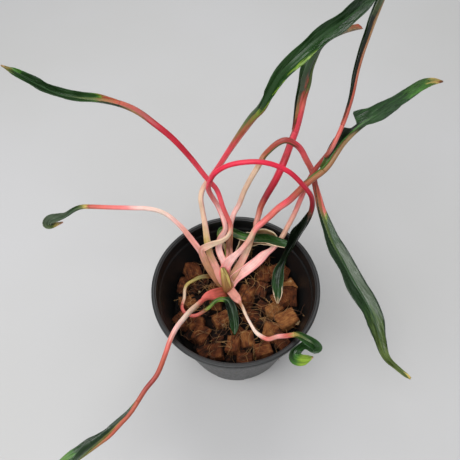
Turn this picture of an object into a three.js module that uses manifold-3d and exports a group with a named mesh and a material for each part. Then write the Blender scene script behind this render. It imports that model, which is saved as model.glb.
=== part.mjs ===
// A potted medusa chinese evergreen: twelve long curled leaves on pink stalks, grown from one
// crown that stands in husk chips in a black nursery pot. Millimetres, +Z up. The origin is the
// middle of the pot's underside, and -Y is the front.
import * as THREE from 'three';
import { mergeVertices } from 'three/addons/utils/BufferGeometryUtils.js';
import Module from 'manifold-3d';

const wasm = await Module();
wasm.setup();

// Driving dimensions of the pot
const POT_HEIGHT = 112;
const POT_TOP_RADIUS = 75;
const POT_BASE_RADIUS = 52;
const POT_WALL = 1.7;
const POT_FLOOR = 2.2;
const COLLAR_HEIGHT = 14;
const COLLAR_STEP = 1.8;
const LIP_WIDTH = 4;
const LIP_BEAD = 1.8;
const FOOT_COUNT = 6;
const LIP_DEPTH = 4;
const EDGE = 1;
const NOTCH_HEIGHT = 7;
const NOTCH_DEPTH = 9;
const NOTCH_ANGLE = THREE.MathUtils.degToRad(30);
const FIRST_NOTCH = THREE.MathUtils.degToRad(-68.5);
const HOLE_RADIUS = 5;
const HOLE_RING = 32;

// Driving dimensions of the chips. Their bed rises by BED_SLOPE towards the back of the pot, and
// they lie lower in a hollow round the stem. They vary in size by a share, in tilt by radians and
// in place by millimetres.
const BED_TOP = 66;
const BED_SLOPE = 0.1;
const HOLLOW_DEPTH = 4;
const HOLLOW_RADIUS = 26;
const CHIP_SIZE = new THREE.Vector3(13, 10.5, 9);
const CHIP_COUNT = 62;
const CHIP_SEED = 14;
const CHIP_VARIATION = 0.3;
const CHIP_TILT = 0.7;
const CHIP_SHIFT = 3;

// Driving dimensions of the stem, and how far under its first point a sheath grows from it
const STEM_X = -7;
const STEM_Y = 16;
const STEM_RADIUS = 6;
const STEM_FOOT = 40;
const STEM_TOP = 84;
const SHEATH_DROP = 9;

// Thickness of a leaf's blade, how far its margins wave up and down, in degrees, and how steeply
// each strip of a half blade stands up from midrib to margin, as shares of the blade's fold. The
// midrib is deepest at its foot, in radii of the stalk.
const BLADE_THICKNESS = 0.8;
const WAVE_ANGLE = 14;
const STRIP_RISE = [0.75, 1, 1.25];
const RIB_FOOT_DEPTH = 1.8;

// Gap left between pieces that touch
const GAP = 0.4;

// Sides and steps of the round and the waved shapes
const POT_SIDES = 48;
const NOTCH_SEGMENTS = 4;
const HOLE_SIDES = 12;
const STEM_SIDES = 16;
const STALK_SIDES = 8;
const STALK_STEP = 8.5;
const SHORTEST_STALK_STEPS = 4;
const SHEATH_STEPS = 5;
const BLADE_STEP = 7.4;
const BLADE_HALF_STRIPS = STRIP_RISE.length;
const LINE_DIVISIONS = 1200;

// Points closer than this are one point of a mesh
const MERGE_DISTANCE = 1e-4;

// Leaves. route runs from the crown to the tip, and bladeAt is the point of it where the blade
// starts. sheath is how much of the stalk's foot belongs to the crown. radius runs along the whole
// stalk. halfWidth, fold and face run along the blade: half its width when it is laid flat, how
// many degrees each half stands up from flat, and the way its upper face looks.
const LEAVES = [
  {
    name: 'long_left',
    route: [
      [-15, 18, 80], [-25, 27, 94], [-30, 34, 106], [-31, 37, 112], [-27, 37, 116], [-20, 38, 120],
      [-12, 38, 124], [-6, 40, 128], [-3, 44, 132], [-3, 47, 137], [-5, 50, 142], [-9, 55, 152],
      [-14, 65, 165], [-22, 68, 177], [-35, 73, 199], [-48, 79, 215], [-60, 84, 225],
      [-74, 93, 231], [-88, 100, 233], [-105, 107, 232], [-121, 112, 230], [-143, 120, 229],
      [-166, 135, 229], [-186, 149, 230], [-201, 159, 231],
    ],
    bladeAt: 18,
    sheath: 42,
    radius: [3.2, 2.5, 2.2, 2.1, 2.1, 2.2, 2.4, 2.6],
    halfWidth: [2.6, 5.4, 6.2, 6.2, 6, 4.8, 0.8],
    fold: [50, 50, 50, 50, 48, 45, 30],
    face: [[0.2, -0.55, 0.8]],
    waves: 4,
  },
  {
    name: 'big_back',
    route: [
      [-13, 19, 83], [-19, 30, 95], [-23, 36, 102], [-25, 43, 110], [-27, 57, 124], [-29, 68, 134],
      [-30, 75, 143], [-27, 81, 150], [-21, 84, 158], [-13, 85, 171], [-2, 84, 194], [9, 81, 218],
      [17, 77, 236], [23, 71, 250], [28, 70, 264], [34, 71, 276], [41, 71, 286], [51, 76, 293],
      [62, 83, 298], [74, 91, 301], [86, 102, 303], [100, 122, 302], [117, 143, 298],
    ],
    bladeAt: 13,
    sheath: 35,
    radius: [3.2, 2.5, 2.4, 2.4, 2.5, 2.7],
    halfWidth: [2.8, 5, 6.6, 7, 7, 7, 6.6, 5.5, 0.8],
    fold: [55, 48, 40, 36, 36, 38, 42, 48, 40],
    face: [[-0.2, -0.9, 0.5], [-0.2, -0.8, 0.6], [0, -0.6, 0.8]],
    waves: 5,
  },
  {
    name: 'folded_back',
    route: [
      [-4, 21, 83], [3, 29, 91], [8, 35, 97], [12, 41, 103], [19, 53, 115], [21, 59, 122],
      [24, 65, 129], [25, 68, 133], [31, 75, 143], [39, 82, 156], [44, 88, 165], [49, 96, 174],
      [52, 100, 183], [56, 105, 194], [58, 108, 209], [60, 112, 223], [63, 114, 236],
      [64, 115, 249], [68, 121, 255], [74, 130, 259], [81, 137, 260], [91, 147, 258],
      [101, 156, 255], [112, 163, 253],
    ],
    bladeAt: 13,
    sheath: 33,
    radius: [3, 2.4, 2.3, 2.4, 2.6],
    halfWidth: [3, 3.6, 4.8, 6, 6.8, 6.4, 5, 3, 3, 0.8],
    fold: [60, 65, 68, 68, 62, 55, 55, 52, 50, 40],
    face: [[-1, -0.1, 0.1], [-1, -0.2, 0.3], [-0.4, -0.4, 0.8]],
    waves: 3,
  },
  {
    name: 'arched',
    route: [
      [-10, 21, 85], [-10, 31, 97], [-13, 35, 103], [-15, 41, 109], [-13, 46, 117], [-11, 48, 120],
      [-8, 50, 125], [-9, 55, 132], [-14, 64, 143], [-18, 64, 155], [-21, 61, 171],
      [-19, 58, 184], [-15, 56, 195], [-7, 54, 205], [1, 52, 211], [14, 51, 214], [24, 51, 213],
      [34, 51, 209], [45, 50, 202], [53, 49, 193], [59, 49, 184], [65, 49, 174], [68, 49, 163],
      [68, 48, 152], [65, 44, 143], [60, 41, 131], [55, 37, 119], [49, 32, 108], [47, 29, 101],
      [43, 23, 95], [41, 14, 90], [40, 4, 85], [39, -6, 81],
    ],
    bladeAt: 23,
    sheath: 32,
    radius: [3.2, 2.5, 2, 2, 2.1, 2.1, 2.2],
    halfWidth: [2.6, 6, 7.5, 7, 4, 5, 6.5, 5.5, 0.8],
    fold: [60, 60, 60, 62, 60, 45, 35, 40, 30],
    face: [[-0.8, -0.5, 0.2], [-0.6, -0.6, 0.5], [-0.1, -0.4, 0.9]],
    waves: 3,
  },
  {
    name: 'tall_right',
    route: [
      [-6, 15, 78], [-1, 21, 83], [10, 26, 90], [22, 32, 97], [28, 36, 101], [36, 40, 105],
      [45, 47, 114], [50, 53, 122], [56, 60, 132], [62, 68, 147], [67, 74, 161], [73, 79, 173],
      [78, 81, 181], [83, 77, 202], [90, 86, 217], [92, 88, 232], [93, 90, 245], [95, 98, 257],
      [98, 105, 268], [103, 115, 276], [110, 130, 281], [119, 149, 284], [129, 172, 285],
      [143, 203, 282],
    ],
    bladeAt: 14,
    sheath: 33,
    radius: [3.2, 3.7, 3, 2.5, 2.2, 1.9],
    halfWidth: [1.9, 1.9, 2.8, 3.8, 4.8, 5.6, 5.8, 5, 0.8],
    fold: [65, 68, 70, 70, 68, 62, 58, 50, 40],
    face: [[-1, -0.1, 0.2], [-1, -0.3, 0.3], [-0.5, -0.5, 0.7]],
    waves: 4,
  },
  {
    name: 'twisted_right',
    route: [
      [-11, 24, 89], [-5, 31, 100], [5, 36, 109], [14, 42, 119], [20, 48, 128], [26, 51, 133],
      [33, 54, 139], [41, 58, 146], [50, 60, 153], [59, 63, 161], [66, 66, 168], [73, 69, 174],
      [80, 70, 180], [84, 73, 185], [90, 79, 190], [95, 83, 197], [99, 83, 205], [102, 85, 210],
      [110, 92, 213], [121, 100, 213], [134, 112, 211], [147, 125, 208], [160, 138, 205],
      [175, 152, 201], [190, 162, 197], [202, 166, 194],
    ],
    bladeAt: 12,
    sheath: 36,
    radius: [4, 2.7, 3.3, 3.3, 3.2, 3],
    halfWidth: [3.4, 5.5, 5, 8.5, 8.5, 7, 6, 6, 5.5, 4, 0.8],
    fold: [66, 68, 60, 30, 24, 26, 30, 34, 38, 38, 30],
    face: [[-0.7, 0.1, 0.7], [-0.6, -0.4, 0.7], [0.1, -0.6, 0.8], [0.1, -0.5, 0.8]],
    waves: 4,
  },
  {
    name: 'hanging_right',
    route: [
      [-8, 24, 86], [-5, 36, 104], [-5, 42, 111], [-4, 49, 118], [-3, 56, 127], [-1, 59, 132],
      [1, 62, 136], [5, 65, 142], [10, 72, 153], [17, 77, 167], [23, 81, 177], [27, 83, 186],
      [32, 83, 194], [39, 84, 201], [45, 85, 203], [51, 85, 200], [59, 87, 190], [65, 86, 178],
      [71, 85, 166], [74, 84, 157], [76, 80, 149], [78, 71, 143], [80, 60, 137], [84, 47, 131],
      [88, 34, 126], [96, 17, 120], [104, -1, 114], [114, -19, 107], [120, -35, 101],
      [123, -49, 95], [127, -62, 89], [137, -70, 83], [147, -77, 78],
    ],
    bladeAt: 20,
    sheath: 36,
    radius: [2.8, 2.3, 2.2, 2.2, 2.4, 2.6],
    halfWidth: [2.8, 5.6, 7.8, 9, 9.6, 10, 9.8, 7, 4.2, 0.8],
    fold: [50, 40, 32, 28, 28, 28, 32, 44, 40, 30],
    face: [[0.5, -0.4, 0.8], [0.1, -0.4, 0.9], [-0.1, -0.3, 0.95]],
    waves: 5,
  },
  {
    name: 'hooked_left',
    route: [
      [-18, 23, 81], [-25, 32, 93], [-33, 41, 104], [-42, 49, 116], [-49, 55, 124], [-57, 60, 131],
      [-64, 63, 136], [-75, 65, 140], [-94, 67, 140], [-116, 70, 138], [-135, 73, 136],
      [-145, 74, 134], [-153, 72, 131], [-159, 68, 129], [-166, 66, 128], [-174, 65, 126],
      [-177, 62, 124], [-174, 61, 122], [-170, 64, 121], [-164, 67, 121],
    ],
    bladeAt: 10,
    sheath: 42,
    radius: [3.6, 3.6, 2.6, 2.1, 2, 2, 2.1],
    halfWidth: [2.4, 4.2, 5, 5.2, 4.6, 2.4, 0.8],
    fold: [55, 50, 48, 45, 45, 42, 30],
    face: [[0.1, -0.3, 0.95]],
    waves: 2,
  },
  {
    name: 'front_left',
    route: [
      [-9, 11, 76], [-19, 5, 84], [-27, -3, 92], [-35, -14, 100], [-40, -22, 106], [-45, -32, 112],
      [-50, -42, 117], [-54, -54, 121], [-57, -66, 122], [-63, -82, 120], [-71, -91, 117],
      [-77, -99, 113], [-83, -107, 110], [-92, -115, 106], [-99, -121, 102], [-107, -126, 99],
      [-115, -131, 96], [-122, -135, 93], [-130, -139, 91], [-139, -143, 89], [-148, -145, 88],
    ],
    bladeAt: 11,
    sheath: 26,
    radius: [4.2, 4, 2.7, 2.3, 2.2, 2.1, 2],
    halfWidth: [2.4, 4.5, 5.5, 7, 9, 9, 6.5, 0.8],
    fold: [70, 70, 70, 66, 55, 40, 35, 30],
    face: [[-0.8, 0.6, 0.2], [-0.8, 0.6, 0.2], [-0.5, 0.5, 0.6], [-0.1, 0.3, 0.95]],
    waves: 3,
  },
  {
    name: 'looped_in_pot',
    route: [
      [-18, 26, 79], [-27, 24, 84], [-33, 23, 85], [-42, 19, 84], [-47, 16, 83], [-49, 11, 81],
      [-49, 4, 79], [-51, -3, 78], [-51, -7, 78], [-47, -12, 78], [-40, -15, 79], [-35, -14, 80],
      [-29, -11, 82], [-23, -7, 84], [-19, -3, 86], [-13, -2, 87], [-8, -3, 87], [-5, -9, 85],
      [-3, -17, 83], [-2, -24, 80], [-2, -34, 77],
    ],
    bladeAt: 12,
    sheath: 31,
    radius: [2.3, 1.8, 1.6, 1.6, 1.8],
    halfWidth: [1.9, 2, 3, 5.4, 5.8, 5.4, 0.8],
    fold: [50, 50, 48, 42, 38, 38, 30],
    face: [[0.2, -0.5, 0.85], [0, -0.5, 0.9]],
    waves: 2,
  },
  {
    name: 'kinked_front',
    route: [
      [-6, 13, 77], [0, 1, 84], [5, -9, 88], [9, -21, 90], [12, -28, 91], [17, -38, 92],
      [22, -42, 92], [27, -45, 93], [34, -45, 99], [42, -48, 108], [48, -51, 118], [51, -54, 123],
      [56, -59, 126], [61, -62, 125], [63, -63, 121], [62, -62, 117], [57, -59, 115],
      [53, -58, 116], [48, -62, 118], [44, -66, 117], [46, -69, 115], [51, -70, 113],
      [56, -69, 112], [61, -68, 112],
    ],
    bladeAt: 10,
    sheath: 26,
    radius: [3.6, 3.2, 1.6, 1.6, 1.8, 2],
    halfWidth: [2.4, 4.4, 5, 4, 3.6, 4, 4.5, 4.5, 0.8],
    fold: [55, 50, 48, 52, 55, 50, 45, 40, 30],
    face: [[0, -0.4, 0.9], [0.1, -0.6, 0.8], [0.3, -0.6, 0.7], [0, -0.6, 0.8]],
    waves: 2,
  },
  {
    name: 'low_back',
    route: [
      [-7, 28, 84], [-6, 40, 91], [-10, 52, 95], [-15, 59, 99], [-13, 66, 102], [-2, 62, 103],
      [9, 57, 102], [20, 54, 102], [30, 50, 107], [38, 41, 116], [48, 34, 121],
    ],
    bladeAt: 3,
    sheath: 26,
    radius: [2.4, 2, 2],
    halfWidth: [2.2, 3.8, 4.8, 5.2, 5.4, 5.2, 4.8, 0.8],
    fold: [50, 45, 40, 36, 34, 32, 25],
    face: [[0, -0.4, 0.9]],
    waves: 2,
  },
];

// The rolled young leaf in the middle of the crown
const NEW_LEAF = {
  route: [[-8, 25, 82], [-7, 31, 92], [-7, 40, 99], [-7, 47, 105]],
  sheath: 31,
  radius: [3.4, 2.4, 1.7, 1.5, 0.5],
};

// The dry, papery sheath that curls up behind the crown
const DRY_SHEATH = {
  route: [
    [-3, 23, 79], [0, 33, 82], [1, 42, 84], [3, 49, 86], [8, 54, 89], [14, 57, 92],
    [22, 57, 95], [29, 55, 97], [35, 51, 99], [39, 46, 100],
  ],
  bladeAt: 2,
  sheath: 32,
  radius: [2.2, 1.8, 1.5],
  halfWidth: [1.6, 3, 4.6, 6, 6.5, 6.5, 5, 2.4],
  fold: [60, 50, 42, 36, 34, 34, 40],
  face: [[0, -0.8, 0.4], [0, -0.5, 0.9], [0.2, -0.3, 0.9]],
  waves: 3,
};

// Colours
const BLACK_PLASTIC = { color: 0x1d1e20, roughness: 0.5 };
const HUSK = { color: 0x6b4630, roughness: 0.95 };
const CREAM_SHEATH = { color: 0xd8b58c, roughness: 0.5 };
const YOUNG_LEAF = { color: 0x8c8a3a, roughness: 0.5 };
const DRY_PAPER = { color: 0xcbb98c, roughness: 0.8 };
const LEAF_GREEN = { color: 0x1f3d22, roughness: 0.35 };
const STALK_COLOURS = {
  long_left: 0xd9566a,
  big_back: 0xd8a07a,
  folded_back: 0xb23a4e,
  arched: 0xe0304c,
  tall_right: 0xe8a094,
  twisted_right: 0xe8706a,
  hanging_right: 0xd87a68,
  hooked_left: 0xe2aaa2,
  front_left: 0xd86a64,
  looped_in_pot: 0xcaa65c,
  kinked_front: 0xe6b0a0,
  low_back: 0xd8b0a0,
};

function finish({ color, roughness }) {
  return new THREE.MeshStandardMaterial({ color, roughness, metalness: 0 });
}

function piece(name, geometry, look) {
  const mesh = new THREE.Mesh(geometry, finish(look));
  mesh.name = name;
  return mesh;
}

// A closed mesh as a solid that can be joined or cut, and back
function solid(geometry) {
  const bare = geometry.clone();
  bare.deleteAttribute('normal');
  bare.deleteAttribute('uv');
  const merged = mergeVertices(bare, MERGE_DISTANCE);
  const vertProperties = new Float32Array(merged.attributes.position.array);
  const triVerts = new Uint32Array(merged.index.array);
  return new wasm.Manifold(new wasm.Mesh({ numProp: 3, vertProperties, triVerts }));
}

function surface(body) {
  const { vertProperties, triVerts } = body.getMesh();
  const geometry = new THREE.BufferGeometry();
  geometry.setAttribute('position', new THREE.BufferAttribute(vertProperties, 3));
  geometry.setIndex(new THREE.BufferAttribute(triVerts, 1));
  geometry.computeVertexNormals();
  return geometry;
}

// A number or a vector that changes evenly along a run of given values, at a share of 0 to 1
function along(values, share) {
  if (values.length === 1) return values[0];
  const place = THREE.MathUtils.clamp(share, 0, 1) * (values.length - 1);
  const index = Math.min(Math.floor(place), values.length - 2);
  const part = place - index;
  const [low, high] = [values[index], values[index + 1]];
  if (typeof low === 'number') return THREE.MathUtils.lerp(low, high, part);
  return low.map((value, axis) => THREE.MathUtils.lerp(value, high[axis], part));
}

// A smooth line through a list of points
function smoothLine(route) {
  const points = route.map(point => new THREE.Vector3(...point));
  const line = new THREE.CatmullRomCurve3(points, false, 'centripetal');
  line.arcLengthDivisions = LINE_DIVISIONS;
  return line;
}

// A leaf's line, with one more point where its sheath grows out of the stem, and the length
// along it of the whole stalk
function leafLine({ route, bladeAt = route.length - 1 }) {
  const root = [STEM_X, STEM_Y, route[0][2] - SHEATH_DROP];
  const line = smoothLine([root, ...route]);
  return { line, whole: lengthTo(line, bladeAt + 1) };
}

// Length of a smooth line up to one of its points
function lengthTo(line, index) {
  const lengths = line.getLengths();
  const place = (index / (line.points.length - 1)) * (lengths.length - 1);
  return lengths[Math.round(place)];
}

// Joins rings of equally many points into one closed skin. Each ring runs anticlockwise when it
// is seen from the far end, and caps lists the triangles that close a ring.
function skin(rings, caps) {
  const count = rings[0].length;
  const positions = rings.flat().flatMap(point => point.toArray());
  const faces = [];
  for (let ring = 0; ring + 1 < rings.length; ring += 1) {
    for (let side = 0; side < count; side += 1) {
      const a = ring * count + side;
      const b = ring * count + (side + 1) % count;
      faces.push(a, b, b + count, a, b + count, a + count);
    }
  }
  const last = (rings.length - 1) * count;
  for (const [a, b, c] of caps) {
    faces.push(c, b, a);
    faces.push(last + a, last + b, last + c);
  }
  const geometry = new THREE.BufferGeometry();
  geometry.setAttribute('position', new THREE.Float32BufferAttribute(positions, 3));
  geometry.setIndex(faces);
  geometry.computeVertexNormals();
  return geometry;
}

// A round stalk along part of a line, from one length along it to another. Its section turns as
// little as it can, and radius runs over the line's length up to whole.
function stalkAlong(line, from, to, whole, radius, steps) {
  const total = line.getLength();
  const rings = [];
  const normal = new THREE.Vector3(0, 0, 1);
  for (let step = 0; step <= steps; step += 1) {
    const reach = THREE.MathUtils.lerp(from, to, step / steps);
    const centre = line.getPointAt(reach / total);
    const tangent = line.getTangentAt(reach / total);
    normal.addScaledVector(tangent, -normal.dot(tangent)).normalize();
    const across = new THREE.Vector3().crossVectors(tangent, normal);
    const size = along(radius, reach / whole);
    rings.push(Array.from({ length: STALK_SIDES }, (_, side) => {
      const angle = (side / STALK_SIDES) * 2 * Math.PI;
      return centre.clone()
        .addScaledVector(normal, size * Math.cos(angle))
        .addScaledVector(across, size * Math.sin(angle));
    }));
  }
  const caps = Array.from({ length: STALK_SIDES - 2 }, (_, index) => [0, index + 1, index + 2]);
  return skin(rings, caps);
}

// A blade's section at one place: points of its upper face from one margin to the other, each
// with the way that the face looks there. Both are measured across and up from the midrib.
function bladeSection(halfWidth, fold, ripple) {
  const strip = halfWidth / BLADE_HALF_STRIPS;
  const halves = [-1, 1].map(way => {
    const points = [];
    let across = 0;
    let up = 0;
    for (let index = 0; index < BLADE_HALF_STRIPS; index += 1) {
      const edge = index === BLADE_HALF_STRIPS - 1 ? way * ripple : 0;
      const rise = THREE.MathUtils.degToRad(fold * STRIP_RISE[index] + edge);
      across += strip * Math.cos(rise);
      up += strip * Math.sin(rise);
      points.push({ across: way * across, up, lean: way * rise });
    }
    return points;
  });
  return [...halves[0].reverse(), { across: 0, up: 0, lean: 0 }, ...halves[1]];
}

// A folded, waved blade along part of a line, with the midrib standing out below it
function bladeAlong(line, from, to, { halfWidth, fold, face, waves, ribDepth }) {
  const total = line.getLength();
  const steps = Math.round((to - from) / BLADE_STEP);
  const rings = [];
  for (let step = 0; step <= steps; step += 1) {
    const share = step / steps;
    const reach = THREE.MathUtils.lerp(from, to, share);
    const centre = line.getPointAt(reach / total);
    const tangent = line.getTangentAt(reach / total);
    const looks = new THREE.Vector3(...along(face, share));
    looks.addScaledVector(tangent, -looks.dot(tangent)).normalize();
    const across = new THREE.Vector3().crossVectors(tangent, looks);
    const ripple = WAVE_ANGLE * Math.sin(share * waves * 2 * Math.PI) * Math.sin(share * Math.PI);
    const upper = bladeSection(along(halfWidth, share), along(fold, share), ripple);
    const place = (side, height) => centre.clone()
      .addScaledVector(across, side)
      .addScaledVector(looks, height);
    const top = upper.map(point => place(point.across, point.up));
    const under = upper.map(({ across: side, up, lean }, index) => {
      const depth = index === BLADE_HALF_STRIPS ? along(ribDepth, share) : BLADE_THICKNESS;
      return place(side + depth * Math.sin(lean), up - depth * Math.cos(lean));
    });
    rings.push([...top, ...under.reverse()]);
  }
  const points = 2 * BLADE_HALF_STRIPS + 1;
  const caps = [];
  for (let index = 0; index + 1 < points; index += 1) {
    const opposite = 2 * points - 1 - index;
    caps.push([index, index + 1, opposite - 1]);
    caps.push([index, opposite - 1, opposite]);
  }
  return skin(rings, caps);
}

// The pot: one thin shell with a stepped collar, a beaded lip, notches between its feet and
// drain holes through its floor
function potWallRadius(height) {
  const collarFoot = POT_HEIGHT - COLLAR_HEIGHT;
  const wallTop = POT_TOP_RADIUS - LIP_BEAD - COLLAR_STEP - EDGE;
  return THREE.MathUtils.lerp(POT_BASE_RADIUS, wallTop, height / collarFoot);
}

// A body turned round the Z axis through a point, from its profile of radii and heights
function turned(profile, sides, x = 0, y = 0) {
  const points = profile.map(([radius, height]) => new THREE.Vector2(radius, height));
  const lathe = new THREE.LatheGeometry(points, sides);
  return solid(lathe.rotateX(Math.PI / 2).translate(x, y, 0));
}

function potShell() {
  const collarFoot = POT_HEIGHT - COLLAR_HEIGHT;
  const collarTop = POT_HEIGHT - LIP_DEPTH;
  const collarRadius = POT_TOP_RADIUS - LIP_BEAD;
  const mouth = POT_TOP_RADIUS - LIP_WIDTH;
  return turned([
    [0, 0],
    [POT_BASE_RADIUS - EDGE, 0],
    [POT_BASE_RADIUS, EDGE],
    [potWallRadius(collarFoot), collarFoot],
    [collarRadius - EDGE, collarFoot + COLLAR_STEP],
    [collarRadius, collarTop - EDGE],
    [POT_TOP_RADIUS, collarTop],
    [POT_TOP_RADIUS, POT_HEIGHT - EDGE],
    [POT_TOP_RADIUS - EDGE, POT_HEIGHT],
    [mouth + EDGE, POT_HEIGHT],
    [mouth, POT_HEIGHT - EDGE],
    [collarRadius - EDGE - POT_WALL, collarFoot + COLLAR_STEP],
    [potWallRadius(collarFoot) - POT_WALL, collarFoot],
    [potWallRadius(POT_FLOOR) - POT_WALL, POT_FLOOR],
    [0, POT_FLOOR],
  ], POT_SIDES);
}

// One notch is cut through the foot of the wall and the edge of the floor behind it
function notchCutter(middle) {
  const [start, end] = [middle - NOTCH_ANGLE / 2, middle + NOTCH_ANGLE / 2];
  const shape = new THREE.Shape();
  shape.absarc(0, 0, POT_BASE_RADIUS + NOTCH_HEIGHT, start, end, false);
  shape.absarc(0, 0, POT_BASE_RADIUS - NOTCH_DEPTH, end, start, true);
  const options = { depth: 2 * NOTCH_HEIGHT, bevelEnabled: false, curveSegments: NOTCH_SEGMENTS };
  return solid(new THREE.ExtrudeGeometry(shape, options).translate(0, 0, -NOTCH_HEIGHT));
}

function holeCutter(angle) {
  const cutter = new THREE.CylinderGeometry(HOLE_RADIUS, HOLE_RADIUS, 3 * POT_FLOOR, HOLE_SIDES);
  cutter.rotateX(Math.PI / 2);
  return solid(cutter.translate(HOLE_RING * Math.cos(angle), HOLE_RING * Math.sin(angle), 0));
}

function pot() {
  let shell = potShell();
  for (let foot = 0; foot < FOOT_COUNT; foot += 1) {
    const middle = FIRST_NOTCH + (foot / FOOT_COUNT) * 2 * Math.PI;
    shell = shell.subtract(notchCutter(middle));
    shell = shell.subtract(holeCutter(middle + Math.PI / FOOT_COUNT));
  }
  return piece('pot', surface(shell), BLACK_PLASTIC);
}

// The husk chips: a sloping bed that fills the pot, with the top layer of chips standing out of it
// and a plain hole for the stem
function potInside(top) {
  const foot = POT_FLOOR + GAP;
  return turned([
    [0, foot],
    [potWallRadius(foot) - POT_WALL - GAP, foot],
    [potWallRadius(top) - POT_WALL - GAP, top],
    [0, top],
  ], POT_SIDES);
}

function slopingBed() {
  const offset = -BED_TOP / Math.hypot(1, BED_SLOPE);
  return potInside(BED_TOP + CHIP_SIZE.x).trimByPlane([0, BED_SLOPE, -1], offset);
}

// The chips turn and vary at random, and are spread evenly in a spiral
function chip(index) {
  const random = THREE.MathUtils.seededRandom;
  const vary = spread => (random() - 0.5) * spread;
  const size = CHIP_SIZE.clone().multiplyScalar(1 + vary(CHIP_VARIATION));
  const box = new THREE.BoxGeometry(size.x + vary(CHIP_SHIFT), size.y + vary(CHIP_SHIFT), size.z);
  box.rotateX(vary(CHIP_TILT));
  box.rotateY(vary(CHIP_TILT));
  box.rotateZ(random() * Math.PI);
  const bedRadius = potWallRadius(BED_TOP) - CHIP_SIZE.y;
  const reach = Math.sqrt((index + 0.5) / CHIP_COUNT) * bedRadius;
  const turn = index * Math.PI * (3 - Math.sqrt(5));
  const x = reach * Math.cos(turn) + vary(CHIP_SHIFT);
  const y = reach * Math.sin(turn) + vary(CHIP_SHIFT);
  const fromStem = Math.hypot(x - STEM_X, y - STEM_Y);
  const sunk = HOLLOW_DEPTH * (1 - THREE.MathUtils.smoothstep(fromStem, STEM_RADIUS, HOLLOW_RADIUS));
  return solid(box.translate(x, y, BED_TOP + BED_SLOPE * y - sunk + vary(CHIP_SHIFT)));
}

function stemHole() {
  const depth = BED_TOP - STEM_FOOT + CHIP_SIZE.x;
  const radius = STEM_RADIUS + 2 * GAP;
  const cutter = new THREE.CylinderGeometry(radius, radius, depth + GAP, STEM_SIDES);
  cutter.rotateX(Math.PI / 2);
  return solid(cutter.translate(STEM_X, STEM_Y, STEM_FOOT + (depth - GAP) / 2));
}

function medium() {
  THREE.MathUtils.seededRandom(CHIP_SEED);
  let bed = slopingBed();
  for (let index = 0; index < CHIP_COUNT; index += 1) bed = bed.add(chip(index));
  bed = bed.intersect(potInside(BED_TOP + CHIP_SIZE.x)).subtract(stemHole());
  return piece('husk_chips', surface(bed), HUSK);
}

// The crown: the short stem, and the foot of every leaf's sheath grown from it
function crown() {
  let body = turned([
    [0, STEM_FOOT],
    [STEM_RADIUS, STEM_FOOT + EDGE],
    [STEM_RADIUS, STEM_TOP - EDGE],
    [STEM_RADIUS / 2, STEM_TOP],
    [0, STEM_TOP],
  ], STEM_SIDES, STEM_X, STEM_Y);
  for (const leaf of [...LEAVES, NEW_LEAF, DRY_SHEATH]) {
    const { line, whole } = leafLine(leaf);
    const end = leaf.sheath - GAP / 2;
    body = body.add(solid(stalkAlong(line, 0, end, whole, leaf.radius, SHEATH_STEPS)));
  }
  return piece('crown', surface(body), CREAM_SHEATH);
}

// A leaf's stalk from its sheath to its blade, and its blade
function leafPieces(leaf) {
  const { line, whole } = leafLine(leaf);
  const from = leaf.sheath + GAP / 2;
  const needed = Math.round((whole - from) / STALK_STEP);
  const steps = Math.max(SHORTEST_STALK_STEPS, needed);
  const stalk = stalkAlong(line, from, whole - GAP / 2, whole, leaf.radius, steps);
  const rib = leaf.radius.at(-1);
  const ribDepth = [RIB_FOOT_DEPTH * rib, rib, BLADE_THICKNESS, BLADE_THICKNESS];
  const blade = bladeAlong(line, whole + GAP / 2, line.getLength(), { ...leaf, ribDepth });
  const stalkLook = { color: STALK_COLOURS[leaf.name], roughness: 0.45 };
  return [
    piece(`${leaf.name}_stalk`, stalk, stalkLook),
    piece(`${leaf.name}_blade`, blade, LEAF_GREEN),
  ];
}

function newLeaf() {
  const { line, whole } = leafLine(NEW_LEAF);
  const from = NEW_LEAF.sheath + GAP / 2;
  const rolled = stalkAlong(line, from, whole, whole, NEW_LEAF.radius, SHORTEST_STALK_STEPS);
  return piece('new_leaf', rolled, YOUNG_LEAF);
}

function drySheath() {
  const { line } = leafLine(DRY_SHEATH);
  const from = DRY_SHEATH.sheath + GAP / 2;
  const shape = { ...DRY_SHEATH, ribDepth: [BLADE_THICKNESS] };
  return piece('dry_sheath', bladeAlong(line, from, line.getLength(), shape), DRY_PAPER);
}

const plant = new THREE.Group();
plant.add(pot(), medium(), crown(), newLeaf(), drySheath());
for (const leaf of LEAVES) plant.add(...leafPieces(leaf));

export default plant;
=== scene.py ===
"""A potted medusa chinese evergreen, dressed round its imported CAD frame. Metres, with +Z up."""
import math
import random
import bmesh
import bpy
import numpy as np
from mathutils import Matrix, Vector, noise


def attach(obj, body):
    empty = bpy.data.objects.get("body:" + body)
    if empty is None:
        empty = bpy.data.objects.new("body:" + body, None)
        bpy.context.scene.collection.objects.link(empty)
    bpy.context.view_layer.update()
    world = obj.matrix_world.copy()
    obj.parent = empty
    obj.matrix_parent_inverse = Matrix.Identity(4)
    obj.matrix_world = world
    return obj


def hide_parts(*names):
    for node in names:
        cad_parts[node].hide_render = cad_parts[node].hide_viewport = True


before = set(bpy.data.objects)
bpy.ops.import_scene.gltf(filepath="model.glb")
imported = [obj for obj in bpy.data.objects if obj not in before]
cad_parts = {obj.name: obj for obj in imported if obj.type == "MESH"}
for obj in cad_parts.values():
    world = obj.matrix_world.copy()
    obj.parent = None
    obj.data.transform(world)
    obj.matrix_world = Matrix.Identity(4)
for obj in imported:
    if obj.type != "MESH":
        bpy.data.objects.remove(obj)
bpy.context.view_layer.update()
MM = 0.001


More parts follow.
